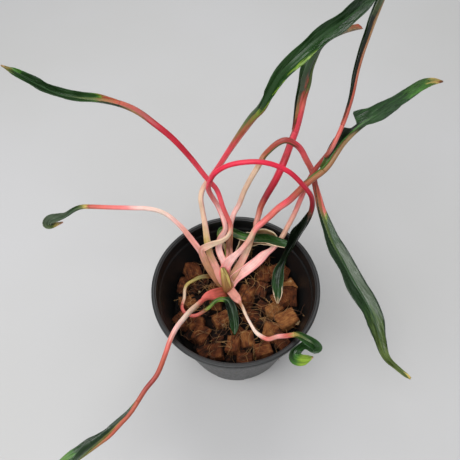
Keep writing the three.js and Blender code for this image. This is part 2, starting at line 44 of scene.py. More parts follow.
# Camera: it looks down on the pot from the front, a little to the left, as the photograph does.
# Its place comes from the ellipses of the pot's lip and foot, and its lens from the same fit.
CAMERA_PLACE = Vector((0, -0.19143, 0.47219))
CAMERA_AIM = Vector((-0.00862, 0.57014, -0.82150))
CAMERA_ROLL = math.radians(2.28)
camera = bpy.data.objects.new("camera", bpy.data.cameras.new("camera"))
bpy.context.collection.objects.link(camera)
camera.data.sensor_width = 36
camera.data.lens = 35.61
camera.data.clip_start, camera.data.clip_end = 0.01, 20
turn = CAMERA_AIM.to_track_quat("-Z", "Y").to_matrix() @ Matrix.Rotation(-CAMERA_ROLL, 3, "Z")
camera.matrix_world = Matrix.Translation(CAMERA_PLACE) @ turn.to_4x4()
bpy.context.scene.camera = camera


# Floor: a plain pale board, painted matte, that the pot stands on. It is a wide sheet with a
# faint mottling so that the light on it isn't dead even.
def linear(code):
    """A colour with alpha 1 in linear light, from its sRGB hex code."""
    parts = [int(code[i:i + 2], 16) / 255 for i in (1, 3, 5)]
    return *(c / 12.92 if c <= 0.04045 else ((c + 0.055) / 1.055) ** 2.4 for c in parts), 1


def feed(node, inputs):
    """Gives a node's inputs values, or links from sockets or from the first outputs of nodes. A
    dict names the inputs, and a tuple fills them in order."""
    for key, value in inputs.items() if isinstance(inputs, dict) else enumerate(inputs):
        if isinstance(value, bpy.types.Node):
            value = value.outputs[0]
        if isinstance(value, bpy.types.NodeSocket):
            node.id_data.links.new(value, node.inputs[key])
        else:
            node.inputs[key].default_value = value
    return node


def add(tree, kind, inputs=(), stops=(), **settings):
    """Adds a node, whose kind may leave out its first word, and feeds it. stops fills its colour
    ramp with places and colours or their hex codes."""
    kinds = (first + kind for first in ("ShaderNode", "GeometryNode", "FunctionNode", ""))
    node = tree.nodes.new(next(whole for whole in kinds if hasattr(bpy.types, whole)))
    for key, value in settings.items():
        setattr(node, key, value)
    if stops:
        ramp = node.color_ramp.elements
        while len(ramp) < len(stops):
            ramp.new(1)
        for element, (place, _) in zip(ramp, stops):
            element.position = place
        for element, (_, colour) in zip(ramp, stops):
            element.color = linear(colour) if isinstance(colour, str) else colour
    return feed(node, inputs)


def new_material(name):
    """An empty material, its tree, and its shader joined to the output."""
    material = bpy.data.materials.new(name)
    material.use_nodes = True
    tree = material.node_tree
    tree.nodes.clear()
    shader = add(tree, "BsdfPrincipled")
    add(tree, "OutputMaterial", {"Surface": shader})
    return material, tree, shader


floor_paint, tree, shader = new_material("matte_painted_board")
place = add(tree, "TexCoord").outputs["Object"]
mottle = add(tree, "TexNoise", {"Vector": place, "Scale": 1 / 0.35, "Detail": 3})
tone = add(tree, "ValToRGB", {"Fac": mottle}, stops=[(0.3, "#B9B8B6"), (0.7, "#BDBCBC")])
feed(shader, {"Base Color": tone, "Roughness": 0.75, "Specular IOR Level": 0.2})
bpy.ops.mesh.primitive_grid_add(size=8, x_subdivisions=4, y_subdivisions=4)
floor = bpy.context.object
floor.name = "floor"
floor.data.materials.append(floor_paint)


# Light: a wide soft box above and in front, weaker ones from the left and from behind, and a pale
# room round them, so that shadows are faint and the leaves carry long soft highlights.
for name, at, aim, size, watts in (
        ("front_box", (-0.2, -0.6, 1.4), (0, 0, 0.1), 1.0, 15),
        ("left_box", (-1.0, -0.35, 0.95), (0, 0, 0.1), 0.7, 4.8),
        ("back_box", (0.1, 1.0, 1.4), (0, 0.45, 0), 1.0, 9.5)):
    light = bpy.data.objects.new(name, bpy.data.lights.new(name, "AREA"))
    bpy.context.collection.objects.link(light)
    light.data.size, light.data.energy = size, watts
    light.location = at
    light.rotation_euler = (Vector(aim) - Vector(at)).to_track_quat("-Z", "Y").to_euler()
room = bpy.data.worlds.new("pale_room")
room.use_nodes = True
feed(room.node_tree.nodes["Background"], {"Color": linear("#E9EDF2"), "Strength": 0.5})
bpy.context.scene.world = room
bpy.context.scene.view_settings.view_transform = "Standard"


# Nursery pot: one thin shell of blow-moulded black polypropylene, with a stepped collar, a beaded
# lip, six notches in its foot and drain holes. It is turned round the Z axis, then cut by a tree.
POT_HEIGHT, LIP_RADIUS, FOOT_RADIUS = 112, 75, 52
POT_WALL, POT_FLOOR, COLLAR, STEP = 1.7, 2.2, 14, 1.8
LIP_WIDTH, LIP_BEAD, LIP_DEPTH = 4, 1.8, 4
POT_SIDES, CORNER_STEPS = 168, 5
FEET, FIRST_NOTCH = 6, math.radians(-68.5)


def pot_radius(height):
    """Outside radius of the pot's tapered wall at a height, in mm."""
    wall_top = LIP_RADIUS - LIP_BEAD - STEP - 1
    return FOOT_RADIUS + (wall_top - FOOT_RADIUS) * height / (POT_HEIGHT - COLLAR)


def eased(corners):
    """A profile with each corner (radius, height, rounding) turned into a small arc."""
    points = []
    for i, (*here, rounding) in enumerate(corners):
        here = np.array(here, float)
        if not rounding:
            points.append(here)
            continue
        before, after = (np.array(corners[j % len(corners)][:2], float) - here
                         for j in (i - 1, i + 1))
        start = here + before / np.linalg.norm(before) * rounding
        end = here + after / np.linalg.norm(after) * rounding
        for t in np.linspace(0, 1, CORNER_STEPS):
            points.append((1 - t) ** 2 * start + 2 * t * (1 - t) * here + t ** 2 * end)
    return np.array(points)


def mesh_piece(name, points, faces, material, marks=()):
    """A smooth-shaded piece at the origin from points in metres, with named numbers at points."""
    mesh = bpy.data.meshes.new(name)
    mesh.from_pydata([tuple(p) for p in points], [], faces)
    for key, values in dict(marks).items():
        kind, field = ("FLOAT", "value") if np.ndim(values) == 1 else ("FLOAT_VECTOR", "vector")
        mark = mesh.attributes.new(key, kind, "POINT")
        mark.data.foreach_set(field, np.asarray(values, np.float32).ravel())
    mesh.shade_smooth()
    mesh.materials.append(material)
    piece = bpy.data.objects.new(name, mesh)
    bpy.context.collection.objects.link(piece)
    return piece


def turned(name, profile, sides, material):
    """A body turned round Z from a profile of radii and heights in mm that starts and ends on Z."""
    angles = np.arange(sides) * 2 * math.pi / sides
    round_ = np.stack([np.cos(angles), np.sin(angles)], 1)
    points = [(0, 0, profile[0][1] * MM)]
    for radius, height in profile[1:-1]:
        points += [(x * radius * MM, y * radius * MM, height * MM) for x, y in round_]
    points.append((0, 0, profile[-1][1] * MM))
    last = len(points) - 1
    faces = []
    for side in range(sides):
        after = (side + 1) % sides
        faces.append((0, 1 + after, 1 + side))
        for ring in range(1, last - sides, sides):
            a, b = ring + side, ring + after
            faces.append((a, b, b + sides, a + sides))
        faces.append((last - sides + side, last - sides + after, last))
    return mesh_piece(name, points, faces, material)


def new_tree(name, **sockets):
    """A geometry tree with the given inputs and a material, and the outputs of its input node."""
    tree = bpy.data.node_groups.new(name, "GeometryNodeTree")
    for key, kind in {"Geometry": "Geometry", **sockets, "Material": "Material"}.items():
        tree.interface.new_socket(key, in_out="INPUT", socket_type="NodeSocket" + kind)
    tree.interface.new_socket("Geometry", in_out="OUTPUT", socket_type="NodeSocketGeometry")
    return tree, tree.nodes.new("NodeGroupInput").outputs


def end_tree(tree, shape, material):
    """Ends a geometry tree: what it made is real mesh, in its material."""
    whole = add(tree, "RealizeInstances", (shape,))
    dressed = add(tree, "SetMaterial", {"Geometry": whole, "Material": material})
    add(tree, "NodeGroupOutput", {"Geometry": dressed})


def apply_tree(piece, tree, **values):
    """Runs a geometry tree on a piece once, with its named inputs, and keeps the plain mesh."""
    modifier = piece.modifiers.new("made", "NODES")
    modifier.node_group = tree
    for item in tree.interface.items_tree:
        if item.in_out == "INPUT" and item.name in values:
            modifier[item.identifier] = values[item.name]
    graph = bpy.context.evaluated_depsgraph_get()
    mesh = bpy.data.meshes.new_from_object(piece.evaluated_get(graph), depsgraph=graph)
    piece.modifiers.remove(modifier)
    piece.data = mesh


def set_in(piece, slot, *nodes):
    """Puts a finished piece in the place of CAD nodes."""
    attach(piece, "root")
    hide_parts(*nodes)


# Polypropylene scatters a little light from its skin, so it looks charcoal, not jet black. Its
# skin has a fine moulded grain, and the drawn wall shows faint upright streaks.
pot_plastic, tree, shader = new_material("moulded_black_polypropylene")
place = add(tree, "TexCoord").outputs["Object"]
cloud = add(tree, "TexNoise", {"Vector": place, "Scale": 1 / 0.03, "Detail": 4})
upright = add(tree, "Mapping", {"Vector": place, "Scale": (1, 1, 0.04)})
streaks = add(tree, "TexNoise", {"Vector": upright, "Scale": 1 / 0.0025, "Detail": 2})
grain = add(tree, "TexNoise", {"Vector": place, "Scale": 1 / 0.0009, "Detail": 2})
tone = add(tree, "ValToRGB", {"Fac": cloud}, stops=[(0.3, "#0C0D0E"), (0.75, "#181919")])
rough = add(tree, "MapRange", {"Value": streaks, "To Min": 0.32, "To Max": 0.5})
heights = add(tree, "Math", (grain, streaks), operation="ADD")
bump = add(tree, "Bump", {"Height": heights, "Strength": 0.35, "Distance": 0.0002})
feed(shader, {"Base Color": tone, "Roughness": rough, "Normal": bump, "IOR": 1.49})

collar_foot, lip_foot = POT_HEIGHT - COLLAR, POT_HEIGHT - LIP_DEPTH
collar_radius, mouth = LIP_RADIUS - LIP_BEAD, LIP_RADIUS - LIP_WIDTH
pot = turned("nursery_pot", eased([
    (0, 0, 0),
    (FOOT_RADIUS, 0, 1),
    (pot_radius(collar_foot), collar_foot, 0.8),
    (collar_radius - 0.5, collar_foot + STEP, 0.8),
    (collar_radius, lip_foot, 0.5),
    (LIP_RADIUS, lip_foot + 0.2, 0.6),
    (LIP_RADIUS, POT_HEIGHT, 1.1),
    (mouth + 1.1, POT_HEIGHT, 0.5),
    (mouth + 0.7, POT_HEIGHT - 0.9, 0.3),
    (mouth - 0.2, POT_HEIGHT - 1.1, 0.4),
    (collar_radius - POT_WALL - 1.2, lip_foot - 1, 0.8),
    (collar_radius - POT_WALL - 1.4, collar_foot + STEP, 0.9),
    (pot_radius(collar_foot) - POT_WALL, collar_foot, 0.7),
    (pot_radius(POT_FLOOR) - POT_WALL, POT_FLOOR, 1),
    (0, POT_FLOOR, 0),
]), POT_SIDES, pot_plastic)

cuts, given = new_tree("cuts_round_the_foot", Feet="Int", First="Float", Ring="Float",
                       Notch="Vector", HoleRing="Float", HoleRadius="Float")
notch = add(cuts, "MeshCube", {"Size": given["Notch"]})
hole = add(cuts, "MeshCylinder", {"Vertices": 32, "Radius": given["HoleRadius"], "Depth": 0.03})
cut = add(cuts, "MeshBoolean", {"Mesh 1": given["Geometry"]}, operation="DIFFERENCE")
index = add(cuts, "InputIndex")
apart = add(cuts, "Math", (math.tau, given["Feet"]), operation="DIVIDE")
for shape, ring, shift in ((notch, given["Ring"], 0), (hole, given["HoleRing"], 0.5)):
    circle = add(cuts, "MeshCircle", {"Vertices": given["Feet"], "Radius": ring})
    number = add(cuts, "Math", (index, shift), operation="ADD")
    angle = add(cuts, "Math", (number, apart, given["First"]), operation="MULTIPLY_ADD")
    upright = add(cuts, "CombineXYZ", {"Z": angle})
    out_x = add(cuts, "CombineXYZ", {"X": ring})
    turned_out = add(cuts, "VectorRotate", {"Vector": out_x, "Rotation": upright},
                     rotation_type="EULER_XYZ")
    placed = add(cuts, "SetPosition", {"Geometry": circle, "Position": turned_out})
    turns = add(cuts, "EulerToRotation", {"Euler": upright})
    copies = add(cuts, "InstanceOnPoints", {"Points": placed, "Instance": shape, "Rotation": turns})
    feed(cut, {"Mesh 2": add(cuts, "RealizeInstances", (copies,))})
end_tree(cuts, cut, given["Material"])
apply_tree(pot, cuts, Feet=FEET, First=FIRST_NOTCH, Ring=FOOT_RADIUS * MM,
           Notch=(0.018, 0.027, 0.014), HoleRing=0.032, HoleRadius=0.005, Material=pot_plastic)
pot.data.set_sharp_from_angle(angle=math.radians(50))
set_in(pot, "pot_plastic", "pot")


# Husk chips: cubes cut from the fibrous husk of coconuts, reddish brown, ragged at the ends of
# their fibres and dusty with pith. A crumbly bed fills the pot under the top layers of chips, its
# husk painted near black as the shade under them.
BED_TOP, HEAP, HEAP_FRONT, HEAP_RUN = 58, 11, -5, 60
STEM_X, STEM_Y = -7, 16
CHIP_COUNTS, CHIP_HALF, CHIP_KINDS = (12, 7, 6), Vector((6.5, 5.25, 4.5)), 7


def husk(name, dark, middle, pale):
    """Coconut husk: matte cork-like pith with coarse fibres along each chip's own length."""
    material, tree, shader = new_material(name)
    place = add(tree, "TexCoord").outputs["Object"]
    own = add(tree, "Attribute", attribute_name="own").outputs["Vector"]
    tint = add(tree, "Attribute", attribute_name="tint").outputs["Fac"]
    drawn = add(tree, "Mapping", {"Vector": own, "Scale": (0.16, 1, 1)})
    strands = add(tree, "TexNoise",
                  {"Vector": drawn, "Scale": 1 / 0.0011, "Detail": 4, "Roughness": 0.65})
    pith = add(tree, "TexNoise", {"Vector": place, "Scale": 1 / 0.006, "Detail": 3})
    both = add(tree, "Math", (strands, pith), operation="ADD")
    shade = add(tree, "Math", (both, 0.85, -0.58), operation="MULTIPLY_ADD")
    # tint holds each chip's own paleness, less painted shade on the deeper layers.
    lifted = add(tree, "Math", (tint, 0.42, shade), operation="MULTIPLY_ADD")
    tone = add(tree, "ValToRGB", {"Fac": lifted},
               stops=[(0.18, dark), (0.5, middle), (0.86, pale), (1, "#CDB38A")])
    relief = add(tree, "Bump", {"Height": both, "Strength": 1, "Distance": 0.0013})
    feed(shader, {"Base Color": tone, "Normal": relief, "Roughness": 0.9,
                  "Specular IOR Level": 0.25})
    return material


chip_husk = husk("coconut_husk_chip", "#160A05", "#64341A", "#9E6A3A")
# The bed's near-black tones are painted shade, for it lies in shadow under the chips.
crumbs_in_painted_shade = husk("coconut_husk_crumb_in_painted_shade", "#050302", "#130A05", "#301B10")

bed_profile = [(0, 2.6), *((pot_radius(z) - POT_WALL - 0.5, z) for z in (2.6, 30)),
               *((radius, BED_TOP) for radius in np.linspace(pot_radius(BED_TOP) - 2.2, 1, 30)),
               (0, BED_TOP)]
bed = turned("husk_bed", bed_profile, 120, crumbs_in_painted_shade)


def heaped(x, y, z):
    """A place in the chips in mm, moved up and outwards where they are heaped at the back."""
    share = min(1, max(0, (y - HEAP_FRONT) / HEAP_RUN))
    rise = HEAP * share * share * (3 - 2 * share)
    spread = pot_radius(z + rise) / pot_radius(z)
    return x * spread, y * spread, z + rise


for vertex in bed.data.vertices:
    if vertex.co.z > 50 * MM:
        crumb = noise.noise(vertex.co / (9 * MM)) + 0.5 * noise.noise(vertex.co / (3 * MM))
        x, y, z = heaped(*(vertex.co / MM))
        vertex.co = (x * MM, y * MM, (z + 2.4 * crumb) * MM)


def husk_chip(number):
    """One chip, 13 x 10.5 x 9 mm, with ragged fibre ends, grooved sides and rounded edges."""
    block = bmesh.new()
    bmesh.ops.create_cube(block, size=2)
    for axis, count in enumerate(CHIP_COUNTS):
        along = [e for e in block.edges if abs((e.verts[0].co - e.verts[1].co)[axis]) > 1]
        bmesh.ops.subdivide_edges(block, edges=along, cuts=count - 1, use_grid_fill=True)
    shift = Vector((number * 7.3, number * 3.1, 0))
    for vertex in block.verts:
        p = vertex.co
        edge = sorted(abs(c) for c in p)[1]
        inset = 1 - 0.045 * max(0, edge - 0.55) / 0.45
        q = Vector(c * h * inset for c, h in zip(p, CHIP_HALF))
        torn = noise.noise(Vector((q.y, q.z, 0)) / 1.1 + shift) + 0.4 * noise.noise(q / 0.7)
        groove = noise.noise(Vector((q.x / 9, q.y / 1.3, q.z / 1.3)) + shift)
        warp = noise.noise(q / 6 + shift)
        if abs(p.x) > 0.99:
            q.x += math.copysign(0.9 * torn, p.x)
        out = Vector((0, p.y if abs(p.y) > 0.99 else 0, p.z if abs(p.z) > 0.99 else 0))
        vertex.co = (q + out * (0.55 * groove + 0.7 * warp)) * MM
    mesh = bpy.data.meshes.new(f"chip_{number}")
    block.normal_update()
    block.to_mesh(mesh)
    block.free()
    mesh.shade_smooth()
    own = mesh.attributes.new("own", "FLOAT_VECTOR", "POINT")
    for vertex in mesh.vertices:
        own.data[vertex.index].vector = vertex.co + shift * MM
    return bpy.data.objects.new(f"chip_{number}", mesh)


chip_kinds = bpy.data.collections.new("chip_kinds")
for number in range(CHIP_KINDS):
    chip_kinds.objects.link(husk_chip(number))


def rows(text):
    """An array from a text: its rows are parted by commas, and their numbers by spaces."""
    return np.array([row.split() for row in text.split(",")], float)


# Chips that the photograph shows well, each as x, y, z of its middle, its turn and tilts in
# degrees, its size against the common one, and how pale it is.
SEEN_CHIPS = rows("""-19 -46 67 -14 4 96 1.1 .35, -3 -40 67 -18 8 78 1.2 .6,
    9 -35 68 12 -10 100 1.1 .75, 24 -46 67 -10 -6 12 1.2 .55, 31 -29 68 6 4 74 1.3 .9,
    48 -17 69 -8 -14 24 1.5 .95, 36 -6 67 4 8 40 1.2 1, 10 8 69 -16 10 62 1.5 .6,
    58 38 64 20 10 70 1.2 .5, 61 10 67 8 -50 84 1.35 .35, 52 17 66 10 -8 30 1.15 1.15,
    -51 40 66 26 12 110 1.35 .5, -57 24 66 6 20 80 1.1 .3, -47 4 66 -10 12 20 1.2 .7,
    -52 -15 66 -12 18 130 1.2 .3, -34 -29 66 8 8 60 1.25 .45, -14 -14 66 -6 4 30 1.25 .7,
    15 -12 66 14 4 150 1.2 .25, 27 30 66 24 -8 86 1.2 .55, -36 24 66 10 -6 40 1.15 .15,
    43 5 66 -14 10 120 1.2 .55, 25 15 66 4 -12 70 1.15 .2, 41 33 66 30 4 20 1.3 .65,
    -32 -50 66 4 10 30 1.1 .1, 42 -38 67 -8 -12 130 1.2 .3, -35 13 71 0 0 0 .13 1.8,
    -37 31 68 10 20 40 .12 1.8, -13 -21 71 10 0 20 .14 1.7, 62 -22 71 20 -40 60 .34 1.8""")
# The layers under them: each one's height, its number of chips, the spread of their paleness,
# and how much darker they are painted for lying deeper, as painted shade.
LAYERS = [(57, 46, 0.3, 1.1), (61.5, 52, 0.6, 0.7), (65.5, 34, 1, 0.2)]
OFF_WALL, AROUND_STEM, AROUND_SEEN = 9.5, 26, 9
draw = random.Random(5)
chips = []
for layer, (height, count, pale, deep) in enumerate(LAYERS):
    for i in range(count):
        reach = math.sqrt((i + 0.5) / count) * (pot_radius(height) - OFF_WALL)
        turn_at = i * math.pi * (3 - math.sqrt(5)) + layer
        x = reach * math.cos(turn_at) + draw.uniform(-2, 2)
        y = reach * math.sin(turn_at) + draw.uniform(-2, 2)
        by_stem = max(0, 1 - math.hypot(x - STEM_X, y - STEM_Y) / AROUND_STEM)
        by_seen = min(math.hypot(x - seen[0], y - seen[1]) for seen in SEEN_CHIPS)
        if by_stem > 0.6 or layer == 2 and by_seen < AROUND_SEEN:
            continue
        z = height - 6 * by_stem + draw.uniform(-1.8, 1.8)
        tilt = [draw.gauss(0, 17), draw.gauss(0, 17), draw.uniform(0, 360)]
        # Each chip's paleness varies at random; deeper layers are painted darker as shade.
        tint = draw.random() ** 1.5 * pale - deep
        chips.append((x, y, z, *tilt, draw.uniform(0.7, 1.1), tint))
chips = np.vstack([chips, SEEN_CHIPS])
for chip in chips:
    x, y, z = heaped(*chip[:3])
    inwards = min(1, (pot_radius(z) - 2.5 - 7 * chip[6]) / max(1, math.hypot(x, y)))
    chip[:3] = x * inwards, y * inwards, z

scatter, given = new_tree("chips_on_points", Kinds="Collection", Last="Int", Seed="Int")
turns = add(scatter, "InputNamedAttribute", {"Name": "turns"}, data_type="FLOAT_VECTOR")
as_turns = add(scatter, "EulerToRotation", {"Euler": turns})
scale = add(scatter, "InputNamedAttribute", {"Name": "scale"}, data_type="FLOAT")
kinds = add(scatter, "CollectionInfo",
            {"Collection": given["Kinds"], "Separate Children": True, "Reset Children": True})
pick = add(scatter, "RandomValue",
           {"Min": 0, "Max": given["Last"], "Seed": given["Seed"]}, data_type="INT")
placed = add(scatter, "InstanceOnPoints", {
    "Points": given["Geometry"], "Instance": kinds, "Pick Instance": True,
    "Instance Index": pick.outputs["Value"], "Rotation": as_turns, "Scale": scale})
end_tree(scatter, placed, given["Material"])
top_chips = mesh_piece("husk_top_chips", chips[:, :3] * MM, [], chip_husk, {
    "turns": np.radians(chips[:, 3:6]), "scale": chips[:, 6], "tint": chips[:, 7]})
apply_tree(top_chips, scatter, Kinds=chip_kinds, Last=CHIP_KINDS - 1, Seed=3, Material=chip_husk)
for piece in (bed, top_chips):
    set_in(piece, "coconut_husk", "husk_chips")


# Loose coir: hair-like fibres that work out of the chips and lie over them in loose arcs. They
# are dry and straw coloured. A tree lays arcs on seeded points, wavers them and makes them round.
coir, tree, shader = new_material("loose_coir_fibre")
place = add(tree, "TexCoord").outputs["Object"]
patches = add(tree, "TexNoise", {"Vector": place, "Scale": 1 / 0.012})
tone = add(tree, "ValToRGB", {"Fac": patches}, stops=[(0.4, "#54331C"), (0.6, "#AE8350")])
feed(shader, {"Base Color": tone, "Roughness": 0.6})

lay, given = new_tree("coir_arcs", Density="Float", Seed="Int", Thick="Float")
spread = add(lay, "DistributePointsOnFaces",
             {"Mesh": given["Geometry"], "Density": given["Density"], "Seed": given["Seed"]})
arc = add(lay, "CurveQuadraticBezier",
          {"Resolution": 14, "Start": (-0.009, 0, -0.001), "Middle": (0, 0.006, 0.004),
           "End": (0.010, -0.002, -0.001)})
turn_by = add(lay, "RandomValue",
              {"Seed": given["Seed"], "Min": (-0.5, -0.5, 0), "Max": (0.5, 0.5, math.tau)},
              data_type="FLOAT_VECTOR")
as_turn = add(lay, "EulerToRotation", {"Euler": turn_by})
longer = add(lay, "RandomValue", {"Seed": given["Seed"], "Min": 0.4, "Max": 2}, data_type="FLOAT")
arcs = add(lay, "InstanceOnPoints", {
    "Points": spread, "Instance": arc, "Rotation": as_turn, "Scale": longer.outputs["Value"]})
loose = add(lay, "RealizeInstances", (arcs,))
waver = add(lay, "TexNoise", {"Scale": 1 / 0.011, "Detail": 1}).outputs["Color"]
centred = add(lay, "VectorMath", (waver, (0.5, 0.5, 0.5)), operation="SUBTRACT")
moved = add(lay, "VectorMath", {0: centred, "Scale": 0.014}, operation="SCALE")
wavered = add(lay, "SetPosition", {"Geometry": loose, "Offset": moved})
round_ = add(lay, "CurvePrimitiveCircle", {"Resolution": 4, "Radius": given["Thick"]})
strands = add(lay, "CurveToMesh", {"Curve": wavered, "Profile Curve": round_, "Fill Caps": True})
end_tree(lay, strands, given["Material"])

disc = bmesh.new()
bmesh.ops.create_circle(disc, cap_ends=True, segments=40, radius=0.056,
                        matrix=Matrix.Translation((0, 0, 75 * MM)) @ Matrix.Rotation(0.1, 4, "X"))
fibres = mesh_piece("loose_coir", [], [], coir)
disc.to_mesh(fibres.data)
disc.free()
apply_tree(fibres, lay, Density=15000, Seed=8, Thick=0.00017, Material=coir)
set_in(fibres, "coconut_husk", "husk_chips")


# Stalks and blades: each leaf grows from the stem as a fleshy channelled stalk, which runs on as
# the blade's midrib. Both follow one smooth line through points in mm, from root to tip. At its
# foot a stalk is a broad sheath, like a strap with raised rims.
SHEATH_DROP = 9
SPAN_STEPS = 40
RING_STEP = 1.3 * MM
STALK_SIDES = 36
HALF_STRIPS = 12
BLADE_THICKNESS = 0.7 * MM
WAVE = 14
CREASE, FINE_CREASE, PLEAT_STEP = 14 * MM, 4 * MM, 3.4 * MM
# sage is a grey-green for undersides, and on the hanging leaf it is also painted sheen; deep paints
# that leaf's shaded half.
PIGMENTS = {
    "umber": "#633621", "clay": "#A06A4A", "sand": "#BC8C69", "buff": "#D3AD92",
    "cream": "#E0C1A4", "ivory": "#E6CBB9", "petal": "#EFBBB3", "shell": "#EEA39D",
    "blush": "#DD9A8B", "rose": "#E97E7C", "salmon": "#D6695F", "coral": "#E04A58",
    "crimson": "#DC2844", "scarlet": "#B51E31", "garnet": "#851B27", "brick": "#973934",
    "rust": "#A9523D", "amber": "#946A3F", "olive": "#7A6E36", "moss": "#586733",
    "spring": "#3D6A24", "lime": "#7A962C", "leaf": "#1F3F17", "deep": "#152C10",
    "dark": "#0E170B", "sage": "#4C5945", "straw": "#C0A95F", "tan": "#A08058",
}


def shaped(**leaf):
    """A leaf's sizes, with those that most leaves share. A text holds rows of numbers, parted by
    commas: route's points in mm; girth and strap by the mm along the stalk; widths, folds and
    the ways that the upper side faces by the share of the blade, or evenly spread along it."""
    foot = leaf["sheath"]
    leaf = {"strap": f"{foot - 8} 1, {foot + 12} 0", "groove": 0.14, "rib_end": 0.85, "ripple": 1,
            "crease": 0.5, "pleat": 0.05, "foot_face": "0 -.5 .9", "sweep_left": "0",
            "sweep_right": "0", **leaf}
    for half in ("left", "right"):
        leaf.setdefault(half, leaf.get("width"))
        leaf.setdefault("fold_" + half, leaf.get("fold"))
    for key, value in leaf.items():
        if isinstance(value, str):
            leaf[key] = rows(value)
    return leaf


def run_of(values, at):
    """A number that changes smoothly through given ones and never overshoots them. Single ones
    are spread evenly over 0 to 1, and pairs say where each of them lies."""
    values = np.array(values, float)
    if len(values) == 1:
        return np.full(np.shape(at), values[0, -1])
    places = values[:, 0] if values.shape[1] == 2 else np.linspace(0, 1, len(values))
    values = values[:, -1]
    slopes = np.diff(values) / np.diff(places)
    lean = np.concatenate([slopes[:1], np.zeros(len(values) - 2), slopes[-1:]])
    for i, (a, b) in enumerate(zip(slopes, slopes[1:]), 1):
        lean[i] = 2 * a * b / (a + b) if a * b > 0 else 0
    i = np.clip(np.searchsorted(places, at) - 1, 0, len(slopes) - 1)
    gap = places[i + 1] - places[i]
    t = np.clip((at - places[i]) / gap, 0, 1)
    return ((1 + 2 * t) * (1 - t) ** 2 * values[i] + t * (1 - t) ** 2 * gap * lean[i]
            + t * t * (3 - 2 * t) * values[i + 1] - t * t * (1 - t) * gap * lean[i + 1])


def between(at, places, rows):
    """Rows of x, y, z between given ones, at places along them."""
    return np.stack([np.interp(at, places, rows[:, k]) for k in range(3)], 1)


def unit(vectors):
    return vectors / np.linalg.norm(vectors, axis=-1, keepdims=True)


def leaf_line(route):
    """Points in metres each half millimetre along the smooth line through the root and a route,
    their lengths along it, and the length at which each of the route's points lies."""
    given = np.array([(STEM_X, STEM_Y, route[0][2] - SHEATH_DROP), *route], float) * MM
    run = np.vstack([2 * given[0] - given[1], given, 2 * given[-1] - given[-2]])
    t = np.linspace(0, 1, SPAN_STEPS, endpoint=False)[:, None]
    spans = []
    for a, b, c, d in zip(run, run[1:], run[2:], run[3:]):
        ab, bc, cd = (math.sqrt(np.linalg.norm(q - p)) for p, q in ((a, b), (b, c), (c, d)))
        leave = ((b - a) / ab - (c - a) / (ab + bc) + (c - b) / bc) * bc
        reach = ((c - b) / bc - (d - b) / (bc + cd) + (d - c) / cd) * bc
        spans.append(b + leave * t + (3 * (c - b) - 2 * leave - reach) * t ** 2
                     + (2 * (b - c) + leave + reach) * t ** 3)
    dense = np.vstack([*spans, given[-1]])
    lengths = np.concatenate([[0], np.cumsum(np.linalg.norm(np.diff(dense, axis=0), axis=1))])
    even = np.arange(0, lengths[-1], 0.5 * MM)
    return steadied(between(even, lengths, dense)), even, lengths[::SPAN_STEPS]


def steadied(points, reach=10):
    """A line of evenly spaced points with its small wavers smoothed out and its ends kept."""
    weights = np.exp(-np.linspace(-2.2, 2.2, 2 * reach + 1) ** 2 / 2)
    weights /= weights.sum()
    padded = np.vstack([2 * points[0] - points[reach:0:-1], points,
                        2 * points[-1] - points[-2:-reach - 2:-1]])
    return np.stack([np.convolve(padded[:, k], weights, "valid") for k in range(3)], 1)


def leaf_frame(leaf):
    """The stations of a leaf each RING_STEP or so: lengths, points, tangents and the way that
    the upper side looks, with the number of the station where the blade starts."""
    points, even, marks = leaf_line(leaf["route"])
    whole, total = marks[leaf["blade_at"] + 1], even[-1]
    first = round(whole / RING_STEP)
    blade_steps = max(0, round((total - whole) / RING_STEP))
    at = np.concatenate([np.linspace(0, whole, first + 1),
                         np.linspace(whole, total, blade_steps + 1)[1:]])
    centre = between(at, even, points)
    tangent = unit(np.gradient(centre, axis=0))
    share = np.clip((at - whole) / max(total - whole, MM), 0, 1)
    looks = between(share, np.linspace(0, 1, len(leaf["face"])), leaf["face"])
    looks = unit(looks - (looks * tangent).sum(1, keepdims=True) * tangent)
    for i in range(first - 1, -1, -1):
        looks[i] = unit(looks[i + 1] - looks[i + 1] @ tangent[i] * tangent[i])
    rest = leaf["foot_face"][0]
    at_foot = unit(rest - (tangent @ rest)[:, None] * tangent)
    mix = run_of([(leaf["sheath"] * MM, 1), (leaf["sheath"] * MM * 2, 0)], at)[:, None]
    return at, centre, tangent, unit(looks * (1 - mix) + at_foot * mix), first


def ring_faces(rings, count):
    """Quads between rings of equally many points, wound to face outwards."""
    return [(start + side, start + after, start + after + count, start + side + count)
            for start in range(0, (rings - 1) * count, count)
            for side, after in enumerate([*range(1, count), 0])]


def stalk_rings(leaf, at, centre, tangent, looks, first):
    """Rings of the stalk and of the midrib that it runs on as, how far along each ring is, from
    0 to 1 on the stalk and 1 to 2 on the blade, the angles round a ring, and the radii."""
    whole = at[first]
    share = np.clip((at - whole) / max(at[-1] - whole, MM), 0, 1)
    fade = np.clip(share / leaf["rib_end"], 0, 1)
    radius = run_of(leaf["girth"], at / MM) * np.where(at > whole, (1 - fade) ** 0.7, 1) * MM
    strap = run_of(leaf["strap"], at / MM)[:, None]
    angle = np.arange(STALK_SIDES) * 2 * math.pi / STALK_SIDES
    signed = (angle + math.pi) % (2 * math.pi) - math.pi
    dip = np.exp(-(signed / (0.6 + 0.35 * strap)) ** 2)
    rim = np.exp(-((np.abs(signed) - 1.15) / 0.3) ** 2)
    ridges = np.cos(6 * angle) * (np.abs(signed) > 1.5)
    up = (np.cos(angle) * (0.93 - 0.4 * strap) - (leaf["groove"] + 0.34 * strap) * dip
          + strap * (0.2 * rim + 0.04 * ridges))
    side = np.sin(angle) * (1 + 0.32 * strap)
    sink = np.where(at > whole, -0.5 * radius * np.minimum(1, fade * 3), 0)
    rings = (centre[:, None]
             + looks[:, None] * (radius[:, None] * up + sink[:, None])[..., None]
             + np.cross(tangent, looks)[:, None] * (radius[:, None] * side)[..., None])
    return rings, np.where(at <= whole, at / whole, 1 + share), angle, radius


